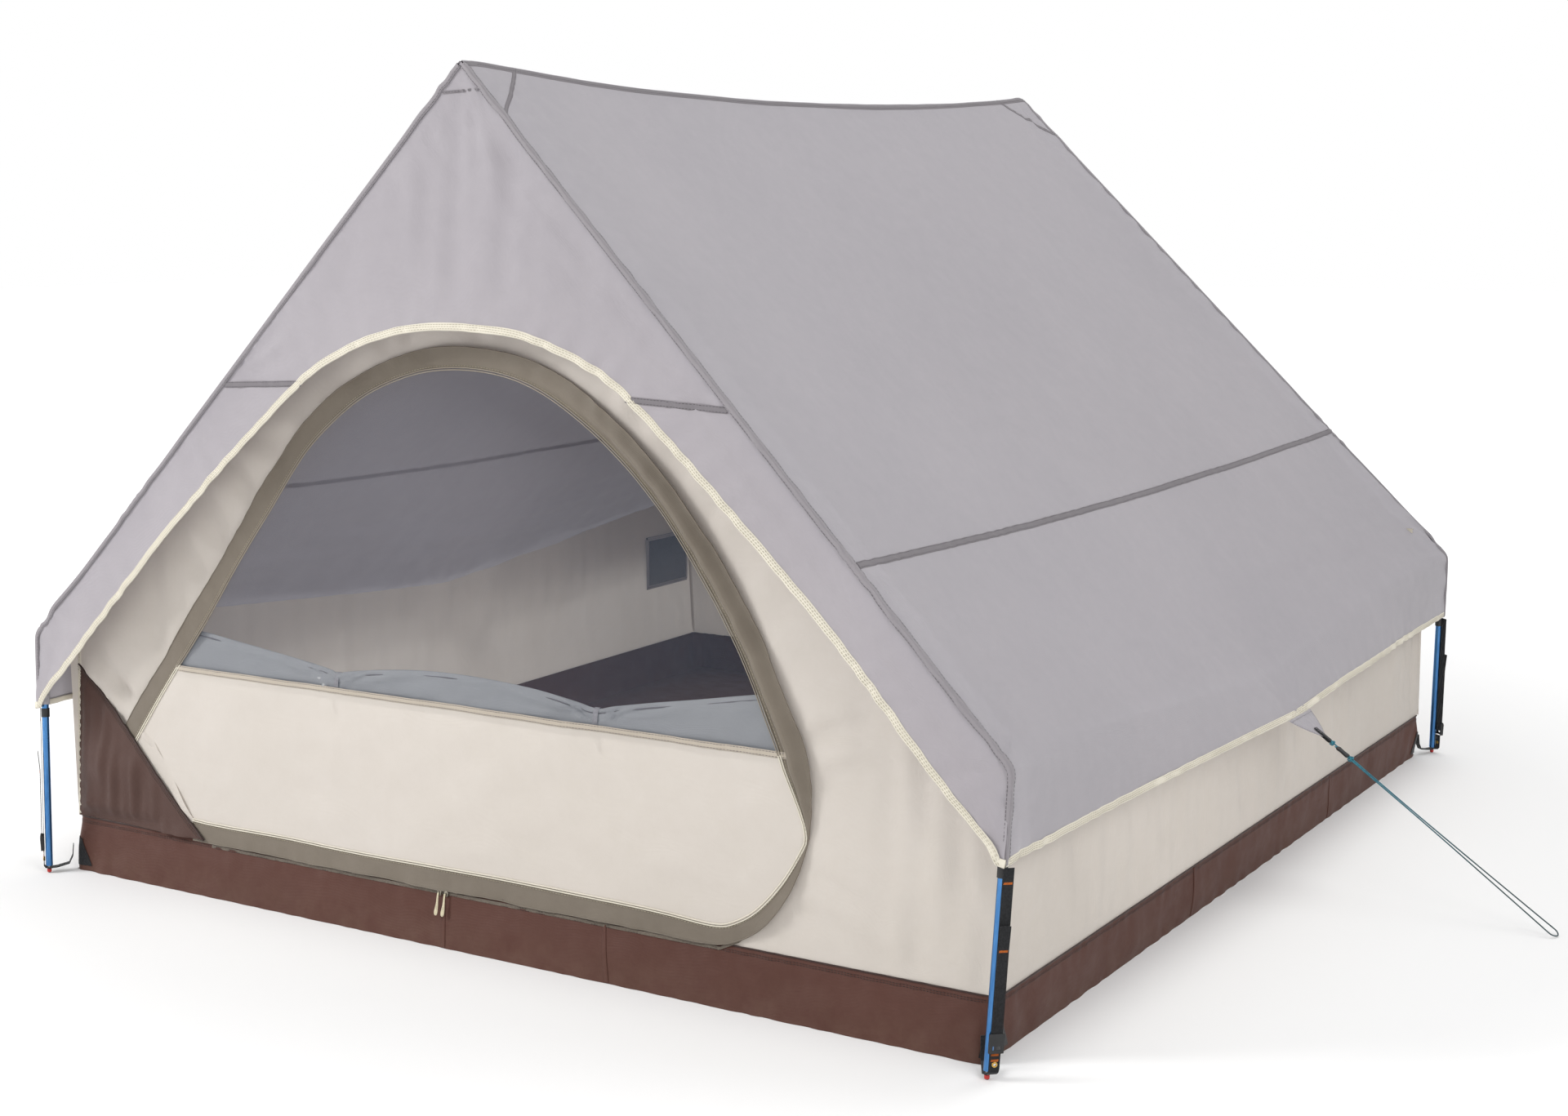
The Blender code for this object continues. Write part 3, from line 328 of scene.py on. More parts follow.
NET = netting("window_mesh", srgb(84, 93, 108), 0.27)
POCKET = netting("pocket_mesh", srgb(88, 90, 98), 0.88)
WEB = webbing("black_webbing", srgb(34, 35, 38), srgb(20, 21, 23))
WEB_GREY = webbing("grey_webbing", srgb(178, 175, 178), srgb(156, 153, 157))
PLASTIC = moulded("black_plastic", srgb(30, 31, 33), srgb(20, 21, 22))
POLE = metal("anodised_blue", srgb(86, 140, 196), srgb(62, 112, 168), 0.30, coat=0.1)
ELBOW = metal("bent_steel", srgb(150, 152, 156), srgb(122, 124, 128), 0.34)
PIN = metal("pin_steel", srgb(170, 170, 172), srgb(136, 136, 140), 0.28)
BRASS = metal("brass", srgb(214, 176, 96), srgb(176, 138, 66), 0.28)
RED_TIP = moulded("red_plastic", srgb(196, 44, 38), srgb(160, 32, 28), 0.4)
ZIP = webbing("zip_coil", srgb(120, 110, 98), srgb(96, 87, 76), 420.0)
ZIP_METAL = metal("zip_metal", srgb(176, 170, 156), srgb(140, 134, 120), 0.35)
PULL = webbing("pull_tape", srgb(226, 216, 186), srgb(202, 190, 156), 420.0)
CORD = braided("guy_cord", srgb(38, 138, 158), srgb(24, 92, 110), srgb(74, 92, 96), srgb(44, 62, 68))

# ------------------------------------------------------------ number helpers


def smoothstep(value, low, high):
    share = np.clip((value - low) / (high - low), 0.0, 1.0)
    return share * share * (3.0 - 2.0 * share)


def waves(u, v, size, seed, count=12):
    """Smooth random height, about -1 to 1, with features of a given size."""
    rng = np.random.default_rng(seed)
    total = np.zeros(np.broadcast(u, v).shape)
    for _ in range(count):
        turn = rng.uniform(0.0, 2.0 * math.pi)
        pitch = 2.0 * math.pi / size * rng.uniform(0.55, 1.7)
        total = total + np.sin(
            pitch * (u * math.cos(turn) + v * math.sin(turn)) + rng.uniform(0.0, 2.0 * math.pi)
        )
    return total / math.sqrt(count) * 0.85


def fold(phase):
    """Rounded crests with narrower valleys between them, 0 to 1."""
    return (0.5 + 0.5 * np.cos(phase)) ** 1.7


def rays(u, v, centre, reach, count, depth, seed, facing=None, spread=0.9):
    """Tension folds that run out from a point; facing and spread keep them to one side."""
    du, dv = u - centre[0], v - centre[1]
    far = np.hypot(du, dv)
    angle = np.arctan2(dv, du)
    phase = count * angle + 1.1 * waves(u, v, reach * 0.9, seed)
    body = np.clip(far / (0.10 * reach), 0.0, 1.0) * np.clip(1.0 - far / reach, 0.0, 1.0) ** 1.6
    strength = 0.65 + 0.45 * waves(angle * 0.8, far * 0.0, 1.1, seed + 7)
    if facing is not None:
        away = np.abs((angle - facing + math.pi) % (2.0 * math.pi) - math.pi)
        strength = strength * np.clip(1.0 - away / spread, 0.0, 1.0) ** 0.7
    return depth * body * strength * (fold(phase) - 0.35)


def near(path, u, v):
    """Distance of each point to a polyline, and how far along the line its nearest point is."""
    u, v = np.asarray(u, float), np.asarray(v, float)
    best = np.full(np.broadcast(u, v).shape, 1e9)
    along = np.zeros(best.shape)
    walked = 0.0
    for (ax, ay), (bx, by) in zip(path[:-1], path[1:]):
        length = math.hypot(bx - ax, by - ay)
        if length < 1e-9:
            continue
        share = np.clip(((u - ax) * (bx - ax) + (v - ay) * (by - ay)) / length ** 2, 0.0, 1.0)
        gap = np.hypot(u - ax - share * (bx - ax), v - ay - share * (by - ay))
        closer = gap < best
        best = np.where(closer, gap, best)
        along = np.where(closer, walked + share * length, along)
        walked += length
    return best, along


def pucker(distance, along, pitch, depth, reach, seed):
    """Short ripples that a row of stitches draws up, fading away from it."""
    swing = np.sin(2.0 * math.pi * along / pitch + 1.6 * waves(along, distance * 0.5, pitch * 2.6, seed))
    level = 0.6 + 0.5 * waves(along, distance * 0.0, pitch * 5.0, seed + 3)
    return depth * np.exp(-(np.abs(distance) / reach) ** 1.25) * swing * level


def resample(points, step):
    """Evenly spaced points along a line of any dimension, ends kept."""
    points = np.asarray(points, float)
    lengths = np.linalg.norm(np.diff(points, axis=0), axis=1)
    walked = np.concatenate([[0.0], np.cumsum(lengths)])
    count = max(int(round(walked[-1] / step)), 1)
    places = np.linspace(0.0, walked[-1], count + 1)
    return np.stack([np.interp(places, walked, points[:, k]) for k in range(points.shape[1])], axis=1)


def smooth_curve(points, step):
    """Catmull-Rom curve through a short list of points, evenly resampled."""
    points = np.asarray(points, float)
    padded = np.vstack([2 * points[0] - points[1], points, 2 * points[-1] - points[-2]])
    shares = np.linspace(0.0, 1.0, 13)[:-1, None]
    parts = []
    for a, b, c, d in zip(padded[:-3], padded[1:-2], padded[2:-1], padded[3:]):
        parts.append(0.5 * (
            2 * b + (c - a) * shares + (2 * a - 5 * b + 4 * c - d) * shares ** 2
            + (3 * b - a - 3 * c + d) * shares ** 3
        ))
    return resample(np.vstack(parts + [points[-1:]]), step)


def side_of(points):
    """Unit vectors to the left of a flat line's direction."""
    way = np.gradient(points, axis=0)
    way /= np.linalg.norm(way, axis=1)[:, None]
    return np.stack([-way[:, 1], way[:, 0]], axis=1)


def offset(points, distance):
    return points + side_of(points) * np.asarray(distance).reshape(-1, 1)


def unit(vectors):
    return vectors / np.maximum(np.linalg.norm(vectors, axis=-1, keepdims=True), 1e-12)


# ------------------------------------------------------------ mesh helpers


def add_mesh(name, verts, faces, material, body="tent", smooth=True):
    """Make a piece and hang it on a body; with 'fold' it hangs on none, its placement baked into the mesh."""
    mesh = bpy.data.meshes.new(name)
    mesh.from_pydata(np.asarray(verts, float).reshape(-1, 3).tolist(), [], faces)
    mesh.materials.append(material)
    mesh.polygons.foreach_set("use_smooth", [smooth] * len(mesh.polygons))
    mesh.update()
    piece = bpy.data.objects.new(name, mesh)
    bpy.context.scene.collection.objects.link(piece)
    settle(piece, body)
    return piece


def settle(piece, body):
    if body == "fold":
        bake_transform(piece)
    elif body:
        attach(piece, body)


def grid_faces(rows, cols, base=0, closed=False, flip=False):
    faces = []
    for r in range(rows - 1):
        for c in range(cols if closed else cols - 1):
            a = base + r * cols + c
            b = base + r * cols + (c + 1) % cols
            quad = (a, b, b + cols, a + cols)
            faces.append(quad[::-1] if flip else quad)
    return faces


def grid(name, points, material, body="tent", closed=False, flip=False):
    """Piece from an array of points, rows by columns."""
    rows, cols = points.shape[:2]
    return add_mesh(name, points, grid_faces(rows, cols, 0, closed, flip), material, body)


class Bundle:
    """Several grids gathered into one piece."""

    def __init__(self):
        self.verts, self.faces, self.count = [], [], 0

    def grid(self, points, closed=False, flip=False):
        rows, cols = points.shape[:2]
        self.faces += grid_faces(rows, cols, self.count, closed, flip)
        self.verts.append(points.reshape(-1, 3))
        self.count += rows * cols

    def raw(self, verts, faces):
        self.faces += [tuple(self.count + i for i in face) for face in faces]
        self.verts.append(np.asarray(verts, float))
        self.count += len(verts)

    def piece(self, name, material, body="tent", slot=None, smooth=True):
        return add_mesh(name, np.vstack(self.verts), self.faces, material, body, smooth)


def inside(loop, points):
    """Which points lie inside a closed flat loop."""
    x, y = points[:, 0], points[:, 1]
    found = np.zeros(len(points), bool)
    for (ax, ay), (bx, by) in zip(loop, np.roll(loop, -1, axis=0)):
        if abs(by - ay) < 1e-12:
            continue
        crosses = (ay > y) != (by > y)
        found ^= crosses & (x < ax + (y - ay) * (bx - ax) / (by - ay))
    return found


def closed(loop):
    loop = np.asarray(loop, float)
    return np.vstack([loop, loop[:1]])


def divided(loop, step):
    """Closed loop with its long sides cut to about a step, corners kept."""
    parts = []
    for a, b in zip(loop, np.roll(loop, -1, axis=0)):
        count = max(int(math.ceil(np.linalg.norm(b - a) / step - 1e-6)), 1)
        parts.append(a + (b - a) * (np.arange(count) / count)[:, None])
    return np.vstack(parts)


def cloth_panel(name, loops, step, surface, material, body="tent"):
    """Flat-cut cloth: an outline with holes, filled with even triangles and laid on a surface."""
    loops = [divided(np.asarray(loop, float), step) for loop in loops]
    low, high = loops[0].min(0), loops[0].max(0)
    xs = np.arange(low[0] + 0.5 * step, high[0], step)
    ys = np.arange(low[1] + 0.5 * step, high[1], step * 0.866)
    mesh_x, mesh_y = np.meshgrid(xs, ys)
    mesh_x = mesh_x + 0.5 * step * (np.arange(len(ys)) % 2)[:, None]
    inner = np.stack([mesh_x.ravel(), mesh_y.ravel()], axis=1)
    keep = inside(loops[0], inner)
    for hole in loops[1:]:
        keep &= ~inside(hole, inner)
    inner = inner[keep]
    for loop in loops:
        inner = inner[near(closed(loop), inner[:, 0], inner[:, 1])[0] > 0.45 * step]
    edges, start = [], 0
    for loop in loops:
        n = len(loop)
        edges += [(start + i, start + (i + 1) % n) for i in range(n)]
        start += n
    flat = np.vstack(loops + [inner])
    found = geometry.delaunay_2d_cdt([Vector(p) for p in flat], edges, [], 1, 1e-7)
    flat = np.array([tuple(p) for p in found[0]])
    triangles = np.array([tuple(f) for f in found[2]])
    centres = flat[triangles].mean(axis=1)
    keep = inside(loops[0], centres)
    for hole in loops[1:]:
        keep &= ~inside(hole, centres)
    faces = [tuple(f) for f in triangles[keep].tolist()]
    verts = surface(flat[:, 0], flat[:, 1], 0.0)
    first = verts[list(faces[0])]
    normal = np.cross(first[1] - first[0], first[2] - first[0])
    outward = surface(flat[faces[0][0], 0], flat[faces[0][0], 1], 0.01) - verts[faces[0][0]]
    if np.dot(normal, outward.reshape(-1)[:3]) < 0:
        faces = [f[::-1] for f in faces]
    return add_mesh(name, verts, faces, material, body)


def laid_line(surface, path, lift=0.0):
    """Points of a flat path on a surface, and the outward directions there."""
    points = surface(path[:, 0], path[:, 1], lift)
    above = surface(path[:, 0], path[:, 1], lift + 0.002)
    return points, unit(above - points)


def tape(bundle, surface, path, width, height=0.0010, lift=0.0002, lean=0.0, wobble=0.0, seed=1):
    """A flat strip of cloth sewn along a path: crowned, with turned-down edges."""
    half = 0.5 * width
    shares = np.array([-1.0, -0.985, -0.80, 0.0, 0.80, 0.985, 1.0])
    heights = np.array([0.0, 0.75, 1.0, 1.12, 1.0, 0.75, 0.0])
    sway = wobble * waves(np.arange(len(path)) * 0.01, 0.0, 0.22, seed)
    rows = []
    for share, level in zip(shares, heights):
        line = offset(path, lean + sway + share * half)
        rows.append(surface(line[:, 0], line[:, 1], lift + height * level))
    bundle.grid(np.stack(rows, axis=1))


def stitches(
    bundle, surface, path, shift=0.0, lift=0.0016, length=0.0050, pitch=0.0074, width=0.0011, height=0.0006
):
    """A row of thread dashes: each is a low hipped lozenge along the path."""
    line = resample(offset(path, shift) if shift else path, pitch)
    points, normals = laid_line(surface, line, lift)
    lozenges(bundle, points, normals, length, width, height)


def dash(bundle, point, way, normal, length, width, height):
    """One stitch."""
    side = unit(np.cross(normal, way))
    a, b = 0.5 * length * way, 0.5 * width * side
    corners = [point - a - b, point + a - b, point + a + b, point - a + b]
    ridge = [point - 0.55 * a + normal * height, point + 0.55 * a + normal * height]
    bundle.raw(corners + ridge, [(0, 1, 5, 4), (2, 3, 4, 5), (1, 2, 5), (3, 0, 4)])


def lozenges(bundle, points, normals, length, width, height):
    for point, way, normal in zip(points, unit(np.gradient(points, axis=0)), normals):
        dash(bundle, point, way, normal, length, width, height)


def tube(points, radius, sides=8, caps=True):
    """Round tube along 3-D points: its vertices and faces."""
    points = np.asarray(points, float)
    ways = unit(np.gradient(points, axis=0))
    up = np.array([0.0, 0.0, 1.0]) if abs(ways[0][2]) < 0.9 else np.array([1.0, 0.0, 0.0])
    across = unit(np.cross(ways[0], up))
    rings = []
    radii = np.broadcast_to(np.asarray(radius, float), (len(points),))
    for p, w, r in zip(points, ways, radii):
        across = unit(across - w * np.dot(across, w))
        over = np.cross(w, across)
        turns = np.arange(sides) * 2.0 * math.pi / sides
        rings.append(p + r * (np.cos(turns)[:, None] * across + np.sin(turns)[:, None] * over))
    verts = np.vstack(rings)
    faces = grid_faces(len(points), sides, 0, True)
    if caps:
        faces += [tuple(range(sides))[::-1], tuple(range(len(verts) - sides, len(verts)))]
    return verts, faces


def tube_piece(name, points, radius, material, body="tent", sides=8):
    verts, faces = tube(points, radius, sides)
    return add_mesh(name, verts, faces, material, body)


# ------------------------------------------------------------ camera, floor and light


def make_camera():
    """View of the tent from its front right, at eye height, as fitted to the photo."""
    yaw, pitch, roll = math.radians(-32.024), math.radians(9.195), math.radians(-0.521)
    ahead = Vector((math.sin(yaw) * math.cos(pitch), math.cos(yaw) * math.cos(pitch), -math.sin(pitch)))
    right = Vector((math.cos(yaw), -math.sin(yaw), 0.0))
    up = right.cross(ahead)
    tilted_right = right * math.cos(roll) + up * math.sin(roll)
    tilted_up = up * math.cos(roll) - right * math.sin(roll)
    data = bpy.data.cameras.new("camera")
    data.sensor_width = 36.0
    data.lens = 51.80
    data.clip_end = 200.0
    camera = bpy.data.objects.new("camera", data)
    turn = Matrix((tilted_right, tilted_up, -ahead)).transposed().to_4x4()
    camera.matrix_world = Matrix.Translation((2.9602, -4.8024, 1.5643)) @ turn
    bpy.context.scene.collection.objects.link(camera)
    bpy.context.scene.camera = camera


def make_stage():
    """Pale floor under soft studio light."""
    half = 30.0
    mesh = bpy.data.meshes.new("studio_floor")
    mesh.from_pydata(
        [(-half, -half, -0.0005), (half, -half, -0.0005), (half, half, -0.0005), (-half, half, -0.0005)],
        [], [(0, 1, 2, 3)]
    )
    floor = bpy.data.objects.new("studio_floor", mesh)
    bpy.context.scene.collection.objects.link(floor)
    paint = bpy.data.materials.new("studio_floor")
    paint.use_nodes = True
    shader = paint.node_tree.nodes["Principled BSDF"]
    shader.inputs["Base Color"].default_value = (0.86, 0.86, 0.86, 1.0)
    shader.inputs["Roughness"].default_value = 0.9
    shader.inputs["Emission Color"].default_value = (1.0, 1.0, 1.0, 1.0)
    tree = paint.node_tree
    place = tree.nodes.new("ShaderNodeTexCoord")
    reach = tree.nodes.new("ShaderNodeVectorMath")
    reach.operation = "LENGTH"
    glow = tree.nodes.new("ShaderNodeMapRange")
    for key, amount in (("From Min", 2.0), ("From Max", 5.5), ("To Min", 0.04), ("To Max", 0.50)):
        glow.inputs[key].default_value = amount
    tree.links.new(place.outputs["Object"], reach.inputs[0])
    tree.links.new(reach.outputs["Value"], glow.inputs["Value"])
    tree.links.new(glow.outputs["Result"], shader.inputs["Emission Strength"])
    mesh.materials.append(paint)
    world = bpy.data.worlds.new("studio")
    world.use_nodes = True
    sky = world.node_tree.nodes["Background"]
    sky.inputs["Color"].default_value = (1.0, 1.0, 1.0, 1.0)
    seen = world.node_tree.nodes.new("ShaderNodeLightPath")
    level = world.node_tree.nodes.new("ShaderNodeMapRange")
    level.inputs["To Min"].default_value = 0.66
    level.inputs["To Max"].default_value = 1.0
    world.node_tree.links.new(seen.outputs["Is Camera Ray"], level.inputs["Value"])
    world.node_tree.links.new(level.outputs["Result"], sky.inputs["Strength"])
    bpy.context.scene.world = world
    lamps = [
        ("key", (-6.0, -5.5, 4.6), 3.0, 450.0),
        ("fill", (6.0, -4.0, 5.0), 4.0, 165.0),
        ("top", (1.5, 2.0, 7.0), 4.0, 150.0),
        ("inner", (0.0, 0.1, 0.92), 0.45, 15.0),
    ]
    for name, place, size, power in lamps:
        data = bpy.data.lights.new(name, "AREA")
        data.shape = "DISK"
        data.size = size
        data.energy = power
        lamp = bpy.data.objects.new(name, data)
        lamp.location = place
        lamp.visible_camera = name != "inner"  # it lights the room and isn't seen itself
        lamp.rotation_euler = (Vector((0.0, 0.0, 0.6)) - Vector(place)).to_track_quat("-Z", "Y").to_euler()
        bpy.context.scene.collection.objects.link(lamp)
    bpy.context.scene.view_settings.view_transform = "Standard"


make_camera()
make_stage()

# ------------------------------------------------------------ finishes of the frame's own parts
CAD_FINISH = [
    (("leg", "rafter", "ridge_pole"), POLE),
    (("elbow",), ELBOW),
    (("foot_pin",), PIN),
    (("apex_hub", "ladder_lock", "pole_clip", "guy_tensioner"), PLASTIC),
    (("tension_strap", "corner_tab"), WEB),
    (("zip_track",), ZIP),
    (("zip_slider",), ZIP_METAL),
    (("zip_pull",), PULL),
]
for node_name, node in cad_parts.items():
    for words, finish in CAD_FINISH:
        if any(word in node_name for word in words):
            for place in node.material_slots:
                place.material = finish

# ------------------------------------------------------------ guy line
HEM_MID = Vector((1.3030, 0.0450, 0.3850))
GROUND = Vector((1.9160, -0.0710, 0.0026))
guy_way = (GROUND - HEM_MID).normalized()
guy_side = Vector((0, 0, 1)).cross(guy_way).normalized()
guy_up = guy_way.cross(guy_side).normalized()
GUY_ROUTE = [
    (1.3937, 0.0243, 0.3280), (1.4280, 0.0178, 0.3066), (1.4866, 0.0067, 0.2700), (1.5537, -0.0060, 0.2282),
    (
        1.6058, -0.0165, 0.1956
    ), (1.6751, -0.0314, 0.1522), (1.7443, -0.0469, 0.1087), (1.8135, -0.0628, 0.0653),
    (
        1.8653, -0.0750, 0.0327
    ), (1.8998, -0.0832, 0.0110), (1.9065, -0.0824, 0.0070), (1.9121, -0.0779, 0.0042),
    (
        1.9152, -0.0708, 0.0031
    ), (1.9149, -0.0632, 0.0042), (1.9113, -0.0569, 0.0070), (1.9054, -0.0537, 0.0110),
    (
        1.8702, -0.0488, 0.0327
    ), (1.8176, -0.0412, 0.0653), (1.7474, -0.0308, 0.1087), (1.6773, -0.0198, 0.1522),
    (1.6073, -0.0083, 0.1956), (1.5550, 0.0009, 0.2282), (1.4879, 0.0136, 0.2700), (1.4293, 0.0247, 0.3066),
    (1.3816, 0.0337, 0.3364),
]


def guy_at(b, a, d=0.0):
    return np.array(HEM_MID + guy_way * b + guy_side * a + guy_up * d)


def make_guy_line():
    """One loop of line from the webbing at the hem to the ground and back."""
    points = smooth_curve(GUY_ROUTE, 0.006)
    curve = bpy.data.curves.new("guy_line_cord", "CURVE")
    curve.dimensions = "3D"
    curve.bevel_depth = 0.5 * CORD_D
    curve.bevel_resolution = 3
    curve.use_fill_caps = True
    spline = curve.splines.new("POLY")
    spline.points.add(len(points) - 1)
    for target, p in zip(spline.points, points):
        target.co = (*p, 1.0)
    curve.materials.append(CORD)
    cord = bpy.data.objects.new("guy_line_cord", curve)
    bpy.context.scene.collection.objects.link(cord)
    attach(cord, "tent")
    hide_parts("guy_line")
    knots = [
        make_knot("guy_knot_loop", guy_at(0.098, 0.001), 0.0044),
        make_knot("guy_knot_stopper", guy_at(0.153, 0.0), 0.0050)
    ]


def make_knot(name, centre, size):
    """Overhand knot: one strand wound through itself, drawn tight round the line."""
    turn = np.linspace(0.0, 2.0 * math.pi, 72)[:-1]
    a = (np.sin(turn) + 2.0 * np.sin(2.0 * turn)) * size * 0.42
    b = (np.cos(turn) - 2.0 * np.cos(2.0 * turn)) * size * 0.42
    d = -np.sin(3.0 * turn) * size * 0.62
    way, side, over = (np.array(v) for v in (guy_way, guy_side, guy_up))
    points = centre + a[:, None] * side + b[:, None] * over + d[:, None] * way * 1.2
    verts, faces = tube(np.vstack([points, points[:1]]), 0.5 * CORD_D, 8, False)
    return add_mesh(name, verts, faces, CORD, "tent")


make_guy_line()

# ------------------------------------------------------------ the roof of the fly
HOOP_ROWS = [
    (0.0, 1.8300), (0.3160, 1.5138), (0.6320, 1.1975), (0.9340, 0.8953), (1.1200, 0.7091),
    (1.2640, 0.5650), (1.2615, 0.4800), (1.2580, 0.3920),
]
MID_ROWS = [
    (0.0004, 1.7830), (0.2980, 1.4760), (0.6000, 1.1690), (0.9050, 0.8650), (1.0820, 0.6520),
    (1.1960, 0.5140), (1.2500, 0.4490), (1.3030, 0.3850),
]
LINE_PULL = [0.0, 0.0, 0.0, 0.0, 0.15, 0.45, 0.80, 1.0]
EAVE_SOFTNESS = 0.011


def softened(values, places, fine):
    """Straight runs between rows, with each corner rounded off."""
    step = fine[1] - fine[0]
    reach = int(4 * EAVE_SOFTNESS / step)
    straight = np.interp(fine, places, values)
    first = straight[0] - (straight[1] - straight[0]) * np.arange(reach, 0, -1)
    last = straight[-1] + (straight[-1] - straight[-2]) * np.arange(1, reach + 1)
    kernel = np.exp(-0.5 * (np.arange(-reach, reach + 1) * step / EAVE_SOFTNESS) ** 2)
    return np.convolve(np.concatenate([first, straight, last]), kernel / kernel.sum(), "valid")


ROW_S = np.concatenate([[0.0], np.cumsum(np.linalg.norm(np.diff(np.array(HOOP_ROWS), axis=0), axis=1))])
SLOPE_END = float(ROW_S[-1])
SEAM_S, EAVE_S = float(ROW_S[3]), float(ROW_S[5])
FINE_S = np.linspace(0.0, SLOPE_END, 600)
HOOP_X, HOOP_Z = (softened([row[k] for row in HOOP_ROWS], ROW_S, FINE_S) for k in (0, 1))
MID_X, MID_Z = (softened([row[k] for row in MID_ROWS], ROW_S, FINE_S) for k in (0, 1))
PULL_S = softened(LINE_PULL, ROW_S, FINE_S)


def roof_base(s, t):
    """Right-hand roof: s metres down the slope from the ridge, t from -1 at the front to 1 at the rear."""
    hoop_x, hoop_z, mid_x, mid_z, pull = (
        np.interp(s, FINE_S, row) for row in (HOOP_X, HOOP_Z, MID_X, MID_Z, PULL_S)
    )
    flat = np.clip(t / POLE_T, -1.0, 1.0)
    tau = np.where(flat > TAB_T, (flat - TAB_T) / (1.0 - TAB_T), (TAB_T - flat) / (1.0 + TAB_T))
    tau = np.sqrt(tau ** 2 + 0.0009)
    share = 1.0 - ((1.0 - pull) * flat ** 2 + pull * (1.64 * tau - 0.64 * tau ** 2))
    x = hoop_x + (mid_x - hoop_x) * share
    z = hoop_z + (mid_z - hoop_z) * share
    y = t * (ROOF_END_Y - ROOF_END_LEAN * hoop_z)
    return np.stack(np.broadcast_arrays(x, y, z), axis=-1)


def roof_relief(s, t, side):
    """How far the cloth stands off its even surface: tension folds, seam ripples, slack."""
    y = t * 1.33
    seed = 20 if side > 0 else 60
    edge = smoothstep(1.0 - np.abs(t), 0.0, 0.05)
    height = 0.0022 * waves(s, y, 0.75, seed) * edge
    height = height + 0.0009 * waves(s * 0.45, y, 0.16, seed + 1) * edge * (0.4 + smoothstep(s, 0.9, 1.7))
    for end in (-1.0, 1.0):
        height = height + rays(
            s, y, (EAVE_S - 0.01, end * 1.345), 0.66, 15, 0.0125, seed + 2 + int(end), math.pi, 1.9
        )
        height = height + rays(s, y, (0.02, end * 1.25), 0.55, 13, 0.0075, seed + 5 + int(end), 0.0, 1.7)
        height = height + rays(
            s, y, (SEAM_S, end * 1.30), 0.42, 12, 0.0065, seed + 17 + int(end), 0.5 * math.pi, 4.0
        )
        along_pole = pucker(np.abs(y - end * 1.33), s, 0.080, 0.0030, 0.09, seed + 9 + int(end))
        height = height + along_pole * smoothstep(1.0 - np.abs(t), 0.0, 0.012)
    height = height + rays(s, y, (SLOPE_END + 0.01, TAB_T * 1.33), 0.46, 16, 0.0085, seed + 13, math.pi, 1.8)
    height = height + pucker(np.abs(s - SEAM_S), y, 0.048, 0.0017, 0.035, seed + 14)
    height = height + pucker(np.abs(s - SLOPE_END), y, 0.060, 0.0022, 0.050, seed + 15) * edge
    slack = np.exp(-((s - 1.62) / 0.13) ** 2) * edge
    return height + 0.0034 * slack * waves(s * 2.2, y * 0.35, 0.28, seed + 16)


def roof_surface(side):
    def at(s, t, lift=0.0):
        s, t = np.broadcast_arrays(np.asarray(s, float), np.asarray(t, float))
        step_s, step_t = 0.004, 0.003
        down = roof_base(np.minimum(s + step_s, SLOPE_END), t) - roof_base(np.maximum(s - step_s, 0.0), t)
        away = roof_base(s, np.minimum(t + step_t, 1.0)) - roof_base(s, np.maximum(t - step_t, -1.0))
        normal = unit(np.cross(down, away))
        height = roof_relief(s, t, side) + lift
        point = roof_base(s, t) + normal * np.expand_dims(height, -1)
        return point * np.array([side, 1.0, 1.0])
    return at


def roof_flat(surface):
    """The same surface with both flat directions in metres."""
    def at(s, y, lift=0.0):
        reach = ROOF_END_Y - ROOF_END_LEAN * np.interp(s, FINE_S, HOOP_Z)
        return surface(np.clip(s, 0.0, SLOPE_END), np.clip(y / reach, -1.0, 1.0), lift)
    return at


def roof_reach(s):
    return ROOF_END_Y - ROOF_END_LEAN * np.interp(s, FINE_S, HOOP_Z)


